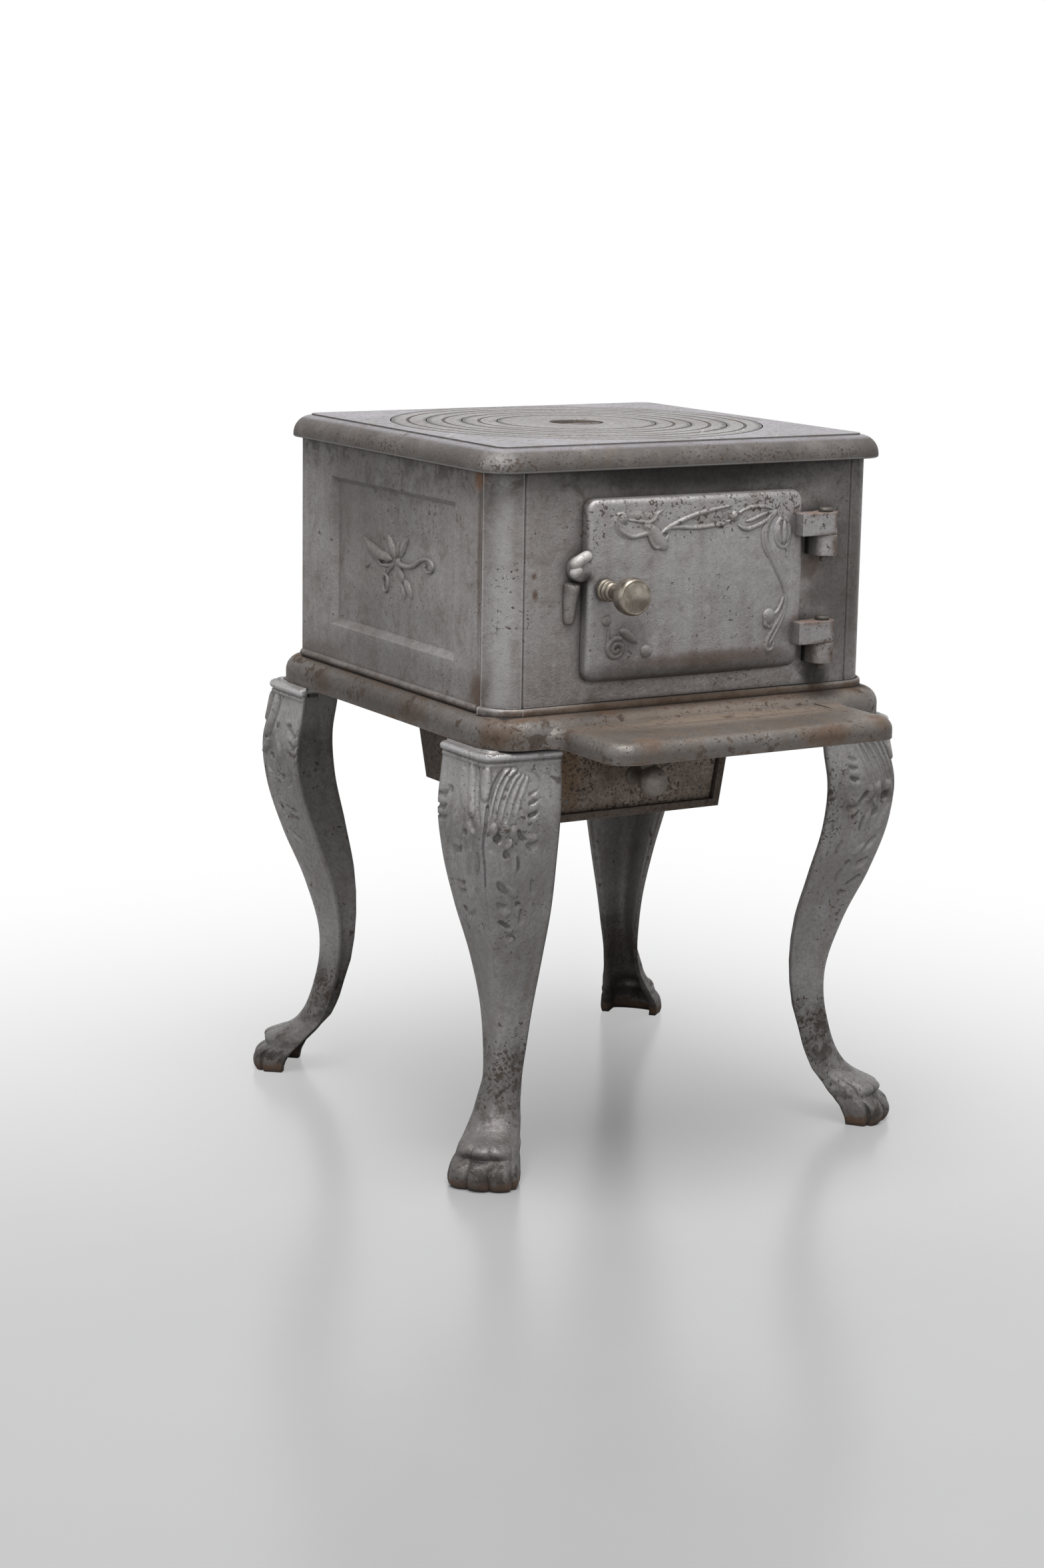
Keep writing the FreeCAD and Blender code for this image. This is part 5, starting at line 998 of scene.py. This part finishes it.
# %% From an empty material to a dressed piece
def blank_material(name):
    """A material with no nodes yet, and its bench."""
    material = bpy.data.materials.new(name)
    material.use_nodes = True
    material.node_tree.nodes.clear()
    return material, Bench(material.node_tree)


def dress(pieces, material):
    """Puts a material on pieces or packed nodes, in place of what they came with."""
    for piece in pieces:
        mesh = (nodes[piece] if isinstance(piece, str) else piece).data
        mesh.materials.clear()
        mesh.materials.append(material)
    print(material.name, len(material.node_tree.nodes), "nodes, on", len(pieces), "pieces")


def finish_surface(bench, colour, metallic, roughness, bump):
    """The shader itself, with its bump."""
    surface = bench.add("BsdfPrincipled", {"Base Color": colour, "Metallic": metallic, "Roughness": roughness,
                                           "Normal": bench.add("Bump", bump).outputs[0]})
    bench.add("OutputMaterial", {"Surface": surface.outputs[0]})


print("materials of the packed stove", len(bpy.data.materials))

# %% [markdown]
# One recipe serves all the painted and bare iron, in the order in which a stove ages, with painted light laid
# in among it: paint, painted shade on upright faces, worn polish, grime with painted shade in some bands,
# painted shade on faces turned to the stove's middle, stains and ring joints, rust, pits and flakes, dirt and
# painted shade in corners, rubbed edges with painted highlights, scratches and soot. Each casting then gets
# its own colours and places, which is how the plates of the real stove differ.

# %% Recipe for old iron
def old_iron(name, pieces, paint, shade, metal=0.6, rough=0.42, rusty=0.2, rust_scale=60.0, bands=(),
             pits=0.38, pit_scale=330.0, pit_bands=(), patches=0.34, mottle=0.22, blotch=0.35, runs=0.25,
             lying=0.0, upright_painted_shade=None, grime_and_shade=(), inward_shade=0.0, joints=(), stains=(), corner=0.8, edge=0.4,
             edge_colour=(0.55, 0.54, 0.53), painted_highlights=(), scratches=0.0, soot=0.0, grain=1.0, bump=0.55):
    """A material for one casting, put on its pieces."""
    material, bench = blank_material(name)
    skin, polish = bench.use(cast_skin, grain=grain), bench.use(mottled_polish)
    rubbed = bench.use(rubbed_edges)
    here = bench.spot()
    axes, level = bench.axes(here), bench.axes(bench.facing())[Z]
    where = near_bands(bench, axes, bands)
    rust = bench.use(rust_bloom, where=where, scale=rust_scale, spread=rusty)
    crowd = bench.plus(near_bands(bench, axes, pit_bands), pits)
    pitted = bench.use(rust_pits, crowd=crowd, scale=pit_scale)["Mask"]
    flaked = bench.use(rust_pits, crowd=patches, scale=75.0)["Mask"]
    dirt_and_corner_shade = bench.times(rubbed["Corner"], corner)
    dull = bench.most(bench.most(bench.most(rust["Mask"], pitted), flaked), dirt_and_corner_shade)

    colour = bench.mixed(polish["Cloud"], shade, paint)
    colour = bench.tinted(colour, skin["Tone"], 0.16, tuple(1.45 * c for c in paint))
    # Upright faces get a darker colour: painted shade on the rim of the top and in the gaps of the rings.
    if upright_painted_shade:
        upright = bench.eased(level, 0.97, 0.8)
        patchy = bench.eased(bench.noise(here, 24, 7, 0.7), 0.4, 0.68)
        rim = bench.mixed(patchy, upright_painted_shade, tuple(1.9 * c for c in upright_painted_shade))
        colour = bench.mixed(upright, colour, rim)
        dull = bench.most(dull, bench.times(upright, 0.5))
    brownish = tuple(share * c for share, c in zip((0.6, 0.52, 0.45), shade))
    colour = bench.tinted(colour, polish["Mottle"], mottle, brownish)
    colour = bench.tinted(colour, polish["Blotch"], blotch, BROWN)
    colour = bench.tinted(colour, polish["Runs"], runs, BROWN)
    if lying:
        dusty = bench.times(bench.eased(level, 0.7, 0.97), bench.plus(polish["Blotch"], 0.35, True))
        colour = bench.tinted(colour, dusty, lying, TAN)
    colour = bench.mixed(bench.times(where, 0.8, True), colour, BROWN)
    # Grime bands darken towards dirt; under the rim of the body this is painted shade as well.
    if grime_and_shade:
        grimy_and_shaded = bench.times(near_bands(bench, axes, grime_and_shade), bench.plus(polish["Blotch"], 0.64, True))
        colour = bench.mixed(grimy_and_shaded, colour, DIRT_AND_SHADE)
        dull = bench.most(dull, bench.times(grimy_and_shaded, 0.35))
    # Faces that turn towards the stove's middle are darkened: painted shade under the stove.
    if inward_shade:
        inward = bench.vector("NORMALIZE", level_run(bench, here, (0, RING_Y, 0)))
        shaded = bench.eased(bench.dot(inward, bench.facing()), 0.05, 0.5, 0.0, inward_shade)
        colour = bench.mixed(shaded, colour, DIRT_AND_SHADE)
        dull = bench.most(dull, shaded)
    if joints:
        colour = bench.mixed(ring_joints(bench, here, joints), colour, DIRT_AND_SHADE)
    rag = bench.times(bench.minus(bench.noise(here, 55, 6, 0.65), 0.5), 1.3)
    # Stains are dirt, rust and smoke; some are painted shade, shadow or highlight, as said where they are
    # listed.
    for tint, strength, middle, radii in stains:
        ragged = bench.times(rag, min(1.0, 45 / max(radii)))
        stained = bench.times(stain_mask(bench, here, middle, radii, ragged), strength)
        colour = bench.mixed(stained, colour, tint)
        dull = bench.most(dull, stained)
    for mask, strength, tint in ((rust["Mask"], 0.8, RUST), (rust["Heart"], 0.5, ORANGE), (pitted, 0.85, PIT),
                                 (flaked, 0.8, FLAKE)):
        colour = bench.tinted(colour, mask, strength, tint)
    # Corners darken: dirt, and painted shade from the occlusion.
    colour = bench.mixed(dirt_and_corner_shade, colour, DIRT_AND_SHADE)
    # Rubbed edges are wear; the listed bands are painted highlights.
    worn_and_highlit = bench.most(bench.times(rubbed["Edge"], edge), near_bands(bench, axes, painted_highlights))
    colour = bench.mixed(worn_and_highlit, colour, edge_colour)
    if scratches:
        scraped = bench.use(pan_scratches, amount=scratches)["Mask"]
        colour = bench.mixed(bench.times(scraped, bench.eased(level, 0.96, 0.995)), colour, edge_colour)
    if soot:
        sooty = bench.use(fire_soot, strength=soot)["Mask"]
        colour = bench.mixed(sooty, colour, SOOT)
        dull = bench.most(dull, sooty)

    metallic = bench.times(bench.minus(1.0, dull, True), metal)
    uneven = bench.times(bench.minus(polish["Mottle"], 0.4), 0.16)
    roughness = bench.plus(bench.plus(bench.times(dull, 0.9 - rough), rough), uneven, True)
    high = bench.plus(skin["Height"], bench.times(rust["Mask"], 0.5))
    high = bench.minus(high, bench.times(pitted, 0.7))
    finish_surface(bench, colour, metallic, roughness, {"Strength": bump, "Distance": 0.0006, "Height": high,
                                                        "Normal": rubbed["Soft normal"]})
    dress(pieces, material)


# %% [markdown]
# Some stains come twice: on both side castings, where they are dirt and painted shade, and under both hinges,
# where water runs down. Two functions repeat them, so that each is written once.

# %% Stains that come twice
HINGE_FEET = (472, 388)


def on_both_sides(*stains):
    """The same stains on the left casting and on the right one."""
    return [(tint, strength, (way * x, y, z), radii)
            for way in (-1, 1) for tint, strength, (x, y, z), radii in stains]


def at_hinges(*stains):
    """The same stains at both hinges, with heights counted from the hinge's foot."""
    return [(tint, strength, (x, y, z + foot), radii)
            for foot in HINGE_FEET for tint, strength, (x, y, z), radii in stains]


print("hinges at", HINGE_FEET, "mm")

# %% [markdown]
# The body's castings are dull silver-grey with warm brown where the plates meet: along the foot on the
# hearth, under the rim, and down the seams beside the corner columns. Over the door the front is darkened by
# smoke and by the rim's painted shadow, and the body is darker under the rim and on the side fields with dirt
# and painted shade. A painted highlight runs down the front-left column and along the beads beside it, and
# water has run down from the hinges.

# %% Body castings
# A painted highlight down the middle of the front-left column.
COLUMN_HIGHLIGHT = (0.5, 0.49, 0.495)
body_stains = [
    # A darker strip low on the left side, dirt and painted shade, and a brown stain further back.
    (DIRT_AND_SHADE, 0.34, (-171, 0, 374), (9, 250, 22)), (BROWN, 0.5, (-171, 110, 366), (9, 60, 14)),
    # On both sides, darker patches on the upper and lower field and round the flower: dirt and painted shade.
    *on_both_sides((DIRT_AND_SHADE, 0.36, (168, 20, 492), (9, 150, 62)), (DIRT_AND_SHADE, 0.26, (168, 0, 410), (9, 130, 40)),
                   (DIRT_AND_SHADE, 0.32, (170, -5, 452), (8, 52, 28))),
    # Over the door, a near-black band of smoke and of the rim's painted shadow; by the hinges, dirt and dark
    # stains.
    (SMOKE_AND_SHADE, 0.92, (6, -171, 538), (190, 12, 36)), (DIRT_AND_SHADE, 0.8, (118, -172, 484), (24, 9, 30)),
    (SMOKE_AND_SHADE, 0.85, (118, -172, 374), (19, 9, 34)), (DIRT_AND_SHADE, 0.62, (150, -172, 450), (60, 9, 130)),
    (ORANGE, 0.6, (-170, -142, 530), (6, 12, 12)), (BROWN, 0.6, (-170, -144, 470), (6, 5, 80)),
    # The pale patch on the front-left column is a painted highlight.
    (COLUMN_HIGHLIGHT, 0.5, (-164, -166, 440), (13, 13, 140)), (RUST, 0.75, (-170, -144, 372), (6, 16, 20)),
    (RUST, 0.9, (-138, -171, 447), (4, 6, 6)), (RUST, 0.8, (-139, -171, 461), (4, 6, 4)),
    (TAN, 0.95, (-10, -176, 360), (210, 26, 5.5)), (RUST, 0.8, (-10, -176, 357), (210, 26, 2.2)),
    (RUST, 0.8, (-101, -174, 453), (4, 6, 4)), *at_hinges((RUST, 0.8, (121, -191, 0), (8, 16, 14))),
    (RUST, 0.55, (110, -172, 455), (17, 9, 20))]
old_iron("body_iron",
         ["front_panel", "left_panel", "right_panel", "rear_panel", "flue_collar", keeper, hook,
          *side_feet],
         (0.375, 0.36, 0.356), (0.27, 0.253, 0.247), soot=1.0, pits=0.4, blotch=0.5,
         bands=[(Z, 358, 10, 0.36), (Z, 537, 6, 0.24), (Y, -144, 5, 0.28)],
         # The upper band is dirt and painted shade under the rim; the lower one is the dark joint on the
         # hearth.
         grime_and_shade=[(Z, 540, 46, 0.85), (Z, 357, 7, 0.95)],
         # Painted highlights on the bead of the seam behind the front-left column and on the quirk beside its
         # front.
         painted_highlights=[(Y, -149.8, 1.2, 0.55), (X, -148.6, 0.9, 0.3)], stains=body_stains)
old_iron("flower_iron", flowers, (0.3, 0.287, 0.28), (0.2, 0.187, 0.178), corner=1.0, edge=0.25)

# %% [markdown]
# The door is the palest casting of the body, polished by hands. Dirt and painted shade gather along its
# foot, dirt and the knob's painted shadow round the spiral, and a painted shadow lies under the ear; rust
# runs from the hinges, and pits pepper the top edge. The vine wears the same paint, a little darker, and the
# ear of the latch is pale as rubbed bare metal and as a painted highlight.

# %% Door, vine and latch ear
# Dirt round the spiral, and the painted shadow of the knob that falls there.
SPIRAL_DIRT_AND_KNOB_SHADOW = (DIRT_AND_SHADE, 0.5, (-66, -190, 410), (26, 30, 24))
TOP_PITS = [(Z, 506, 34, 0.1)]
door_stains = [
    # Dirt and painted shade along the door's foot, where it turns under.
    (DIRT_AND_SHADE, 0.88, (0, -186, 378), (170, 40, 23)), (RUST, 0.55, (10, -186, 393), (105, 40, 8)), SPIRAL_DIRT_AND_KNOB_SHADOW,
    # A painted shadow under the ear of the latch.
    (DIRT_AND_SHADE, 0.8, (-99, -178, 459), (8, 14, 7)),
    *at_hinges((RUST, 0.8, (122, -191, 21), (9, 16, 14)), (RUST, 0.7, (112, -188, 10), (24, 16, 4)),
               (RED, 0.8, (104, -187, 28), (28, 20, 5)))]
old_iron("door_iron", ["fire_door"], (0.408, 0.394, 0.398), (0.323, 0.31, 0.312), soot=1.0, rusty=0.14,
         pits=0.4, bands=[(Z, 380, 12, 0.2)], pit_bands=TOP_PITS, blotch=0.34, edge=0.22,
         stains=door_stains)
old_iron("vine_iron", [door_vine], (0.37, 0.36, 0.356), (0.285, 0.274, 0.268), metal=0.5, rough=0.5,
         pits=0.4, edge=0.12, pit_bands=TOP_PITS, corner=1.0, stains=[SPIRAL_DIRT_AND_KNOB_SHADOW])
# The ear's pale colour is rubbed bare metal and a painted highlight.
old_iron("ear_iron", [ear], (0.66, 0.645, 0.64), (0.53, 0.515, 0.505), metal=0.35, rough=0.52, pits=0.42,
         edge=0.6, edge_colour=(0.75, 0.74, 0.73))

# %% [markdown]
# The hearth and the legs stand in the damp, so they rust more. Tan rust lies on the shelf, and the hearth's
# left side is darker with dirt and painted shade. The legs are lighter on every raised flute and dark in the
# cuts, because blacking stays in the hollows; the knee and the bead at the top get painted highlights, and
# the faces turned in under the stove get painted shade.

# %% Hearth and legs
hearth_stains = [
    (TAN, 0.7, (10, -204, 352), (180, 34, 12)), (BROWN, 0.8, (0, -216, 351), (160, 6, 6)),
    (RUST, 0.85, (-96, -262, 345), (20, 16, 16)), (RUST, 0.8, (-168, -176, 345), (26, 24, 16)),
    (DIRT_AND_SHADE, 0.8, (118, -180, 356), (22, 14, 8)), (RUST, 0.75, (60, -272, 345), (36, 12, 14)),
    (RUST, 0.75, (-181, -60, 345), (12, 34, 14)), (RUST, 0.7, (-181, 90, 345), (12, 26, 14)),
    # The last two stains darken the hearth's left side and its joint: dirt and painted shade.
    (RUST, 0.7, (112, -262, 347), (14, 20, 12)), (DIRT_AND_SHADE, 0.45, (-183, 10, 346), (16, 240, 18)),
    (DIRT_AND_SHADE, 0.4, (-175, 10, 358), (9, 240, 7))]
old_iron("hearth_iron", ["hearth_plate"], (0.2, 0.188, 0.178), (0.12, 0.108, 0.098), metal=0.4, rough=0.44,
         rusty=0.25, blotch=0.6, runs=0.2, soot=1.0, lying=0.45, pits=0.45, patches=0.47,
         bands=[(Z, 357, 6, 0.3), (Z, 336, 5, 0.24)], stains=hearth_stains)
old_iron("leg_iron", legs, (0.36, 0.349, 0.348), (0.24, 0.229, 0.227), metal=0.65, rough=0.36, pits=0.41,
         mottle=0.34, bands=[(Z, 0, 16, 0.62), (Z, 322, 7, 0.12)], pit_bands=[(Z, 78, 46, 0.13)],
         # Faces turned to the stove's middle get painted shade; the grime bands darken the paw and ankle,
         # where paint has worn to dark iron, and a band about the knee.
         grime_and_shade=[(Z, 66, 60, 1.0), (Z, 12, 40, 1.0), (Z, 272, 42, 0.28)], inward_shade=0.24, patches=0.39,
         # Painted highlights on the knee and on the bead at the top of each leg.
         painted_highlights=[(Z, 312, 34, 0.12), (Z, 330.5, 3.6, 0.42)], edge=0.8, edge_colour=(0.74, 0.74, 0.75),
         corner=0.95)

# %% [markdown]
# The cooking top is the palest part: scoured iron with a faint violet cast, scratches and a few dark
# spots. Its rounded rim is browned and pitted, and darker as painted shade on its upright faces; a painted
# highlight runs along the rim's lower edge, and a paler patch on the front-left corner is wear and painted
# highlight. The rings are the same metal, with dirt in the joints between them, painted shade on their
# upright faces and soot below.

# %% Top and rings
old_iron("top_iron", ["top_plate"], (0.318, 0.306, 0.334), (0.234, 0.222, 0.242), metal=0.5, rough=0.42,
         pits=0.38, pit_bands=[(Z, 544, 13, 0.12)], pit_scale=430.0, bands=[(Z, 546, 8, 0.12)], rusty=0.16,
         scratches=0.5, soot=1.0, runs=0.1, mottle=0.36, blotch=0.5, patches=0.36,
         # Painted shade on the rim's upright faces, a painted highlight along its lower edge, and on the
         # front-left corner a paler patch of wear and painted highlight.
         upright_painted_shade=(0.088, 0.082, 0.078), painted_highlights=[(Z, 538.4, 1.0, 0.4)],
         stains=[((0.4, 0.39, 0.385), 0.6, (-176, -176, 548), (26, 26, 14))])
RINGS = ("outer_ring", "middle_ring", "inner_ring", "centre_lid")
ring_edges = [(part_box(ring)[1].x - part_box(ring)[0].x) / 2 for ring in RINGS]
old_iron("ring_iron", [*RINGS, "lid_lift_bar"], (0.3, 0.287, 0.29), (0.2, 0.188, 0.188), metal=0.5,
         rough=0.42, pits=0.4, scratches=0.6, soot=1.0, rusty=0.18, runs=0.1, mottle=0.4, blotch=0.6,
         # Painted shade on the upright faces: in the gaps between the rings and in the lid's dish.
         upright_painted_shade=(0.05, 0.043, 0.038), joints=ring_edges)
print("rings meet at", [round(edge, 4) for edge in ring_edges])

# %% [markdown]
# The ash trough and its drawer are the rustiest: bare metal with a granular crust, and one orange streak
# under the hearth. Nuts, bolts, rods and pins are dark oiled steel, and the grate and the door's heat
# shield are burnt brown-black.

# %% Trough, drawer, fasteners and fire parts
STREAK = (0.27, 0.155, 0.07)
old_iron("drawer_iron", ["drawer_front"], (0.5, 0.42, 0.36), (0.28, 0.222, 0.178), metal=0.25, rough=0.55,
         rusty=0.26, rust_scale=120.0, pits=0.505, pit_scale=420.0, mottle=0.6, blotch=0.7, grain=2.6,
         bump=0.9, edge=0.3,
         stains=[(STREAK, 0.6, (-62, -98, 300), (18, 30, 60)), (RUST, 0.6, (-24, -98, 296), (22, 30, 22))])
old_iron("knob_iron", [small_knob], (0.36, 0.335, 0.305), (0.25, 0.222, 0.195), metal=0.5, rough=0.4,
         pits=0.42, blotch=0.5)
old_iron("trough_iron", ["ash_trough"], (0.175, 0.138, 0.112), (0.1, 0.073, 0.057), metal=0.15, rough=0.62,
         rusty=0.34, rust_scale=140.0, pits=0.46, pit_scale=380.0, mottle=0.6, blotch=0.7, grain=2.4,
         bump=0.8, edge=0.2)
old_iron("pan_steel", ["ash_drawer", "drawer_rivets"], (0.2, 0.185, 0.17), (0.12, 0.1, 0.085), metal=0.5,
         rough=0.5, rusty=0.34, grain=0.4)
old_iron("bolt_steel",
         ["leg_bolts", "tie_rods", "tie_rod_nuts", "trough_bolts", "flue_bolts", "flue_nuts",
          "liner_screws", "knob_stud", "drawer_knob_stud", "hinge_pins"],
         (0.15, 0.14, 0.13), (0.08, 0.07, 0.062), rough=0.5, rusty=0.3)
old_iron("burnt_iron", ["fire_grate", "door_liner"], (0.06, 0.052, 0.047), (0.03, 0.026, 0.023), metal=0.2,
         rough=0.75, rusty=0.3)

# %% [markdown]
# The knob was plated once. Its metal is of two tones, and a brown bloom has grown over the flat and in the
# rings of the collar, which are also dark with dirt and painted shade.

# %% Worn plating
def worn_plating():
    """Old plating: two tones of metal, brown bloom, and dirt and painted shade in corners such as the rings
    of the collar.
    """
    material, bench = blank_material("worn_plating")
    rubbed = bench.use(rubbed_edges, radius=0.003, reach=0.006)
    bloom = bench.use(rust_bloom, where=0.12, scale=150.0, spread=0.3)["Mask"]
    skin = bench.use(cast_skin, grain=0.4)
    tone = bench.eased(bench.noise(bench.spot(), 90, 5, 0.6, 0.6), 0.35, 0.68)
    colour = bench.mixed(tone, (0.19, 0.165, 0.135), (0.36, 0.327, 0.28))
    colour = bench.tinted(colour, bloom, 0.6, (0.17, 0.12, 0.07))
    # Dark in the corners: dirt and painted shade.
    colour = bench.tinted(colour, rubbed["Corner"], 0.85, (0.05, 0.036, 0.024))
    dull = bench.most(bench.times(bloom, 0.6), rubbed["Corner"])
    metallic = bench.minus(1.0, bench.times(dull, 0.8), True)
    roughness = bench.plus(bench.times(dull, 0.35), 0.38)
    finish_surface(bench, colour, metallic, roughness, {"Strength": 0.2, "Distance": 0.0004,
                                                        "Height": skin["Height"]})
    dress([knob, collar], material)


worn_plating()
print("materials", sorted(material.name for material in bpy.data.materials if material.users))

# %% [markdown]
# ## Floor, light and camera
# The stove stands on a pale, slightly glossy floor that fades into white behind it and far off. The world is
# white to the camera and to reflections but dimmer as a lamp, so the castings keep their tones.

# %% Floor and white surroundings
FLOOR_HALF = 8.0
BEHIND, ASIDE = (0.51, 0.86, 0.0), (0.86, -0.51, 0.0)
FADE_BEHIND, FADE_FAR, FADE_ASIDE = (-0.4, 1.1), (0.9, 1.9), 0.6
WORLD_LAMP = 0.32


def pale_floor():
    """A plain sheet that turns to white for the camera, but not for the light."""
    mesh = bpy.data.meshes.new("floor")
    corners = [(x * FLOOR_HALF, y * FLOOR_HALF, 0) for x, y in ((-1, -1), (1, -1), (1, 1), (-1, 1))]
    mesh.from_pydata(corners, [], [(0, 1, 2, 3)])
    floor = bpy.data.objects.new("floor", mesh)
    bpy.context.scene.collection.objects.link(floor)
    material, bench = blank_material("pale_floor")
    here = bench.spot()
    colour = bench.mixed(bench.noise(here, 3.0, 5, 0.6), (0.50, 0.50, 0.508), (0.56, 0.56, 0.566))
    surface = bench.add("BsdfPrincipled", {"Base Color": colour, "Roughness": 0.24})
    aside = bench.times(bench.calc("ABSOLUTE", bench.dot(here, ASIDE)), FADE_ASIDE)
    fade = bench.eased(bench.plus(bench.dot(here, BEHIND), aside), *FADE_BEHIND)
    fade = bench.most(fade, bench.eased(bench.length(here), *FADE_FAR))
    camera_ray = bench.add("LightPath").outputs["Is Camera Ray"]
    white = bench.add("Emission", {"Color": (1, 1, 1, 1), "Strength": 1.0})
    blend = bench.add("MixShader", {0: bench.times(fade, camera_ray), 1: surface.outputs[0],
                                    2: white.outputs[0]})
    bench.add("OutputMaterial", {"Surface": blend.outputs[0]})
    mesh.materials.append(material)


def white_world():
    """White where it is seen or mirrored, and a dim lamp everywhere else."""
    world = bpy.data.worlds.new("white_surroundings")
    bpy.context.scene.world = world
    world.use_nodes = True
    world.node_tree.nodes.clear()
    bench = Bench(world.node_tree)
    path = bench.add("LightPath").outputs
    seen = bench.most(path["Is Camera Ray"], bench.most(path["Is Glossy Ray"], path["Is Transmission Ray"]))
    strength = bench.add("MapRange", {"Value": seen, "To Min": WORLD_LAMP, "To Max": 1.0}).outputs[0]
    sky = bench.add("Background", {"Color": (1, 1, 1, 1), "Strength": strength})
    bench.add("OutputWorld", {"Surface": sky.outputs[0]})


pale_floor()
white_world()
print("floor", 2 * FLOOR_HALF, "m wide, world lamp", WORLD_LAMP)

# %% [markdown]
# One broad lamp hangs overhead, as in a studio with a soft box on a boom. It is a little in front of the
# stove, so the top is brightest and the front comes next. A weak one beside the camera lifts the shadows.

# %% Lamps
LAMP_AIM, LAMP_SIZE = (0, 0, 0.4), 1.2


def soft_box(name, place, power):
    """A square lamp that looks at the stove."""
    lamp = bpy.data.lights.new(name, "AREA")
    lamp.shape = "SQUARE"
    lamp.size = LAMP_SIZE
    lamp.energy = power
    box = bpy.data.objects.new(name, lamp)
    bpy.context.scene.collection.objects.link(box)
    box.location = place
    box.rotation_euler = (Vector(LAMP_AIM) - Vector(place)).to_track_quat("-Z", "Y").to_euler()
    print(name, power, "W")


soft_box("overhead", (-0.25, -0.45, 2.1), 36.0)
soft_box("front_fill", (-1.6, -2.2, 1.5), 5.0)

# %% [markdown]
# The camera is where the photograph was taken from, worked out from the corners of the body and the
# circles of the rings: about 31 degrees to the left of the front and 12 degrees above the level.

# %% Camera
CAMERA_PLACE = (-1271.585, -2066.665, 764.241)
YAW, PITCH, ROLL = (math.radians(angle) for angle in (30.690, 11.745, 0.9447))
FOCAL_PIXELS, FRAME_TALL, SENSOR = 4542.312, 2354.0, 36.0
forward = Vector((math.sin(YAW) * math.cos(PITCH), math.cos(YAW) * math.cos(PITCH), -math.sin(PITCH)))
level_right = Vector((math.cos(YAW), -math.sin(YAW), 0))
level_up = level_right.cross(forward)
right = level_right * math.cos(ROLL) + level_up * math.sin(ROLL)
up = level_up * math.cos(ROLL) - level_right * math.sin(ROLL)
lens = bpy.data.cameras.new("photo_camera")
lens.sensor_width = SENSOR
lens.lens = FOCAL_PIXELS / FRAME_TALL * SENSOR
lens.clip_end = 50
camera = bpy.data.objects.new("photo_camera", lens)
bpy.context.scene.collection.objects.link(camera)
turn = Matrix((right, up, -forward)).transposed().to_4x4()
camera.matrix_world = Matrix.Translation(Vector(placed([CAMERA_PLACE])[0])) @ turn
bpy.context.scene.camera = camera
bpy.context.scene.view_settings.view_transform = "Standard"
print("lens", round(lens.lens, 2), "mm")

# %% [markdown]
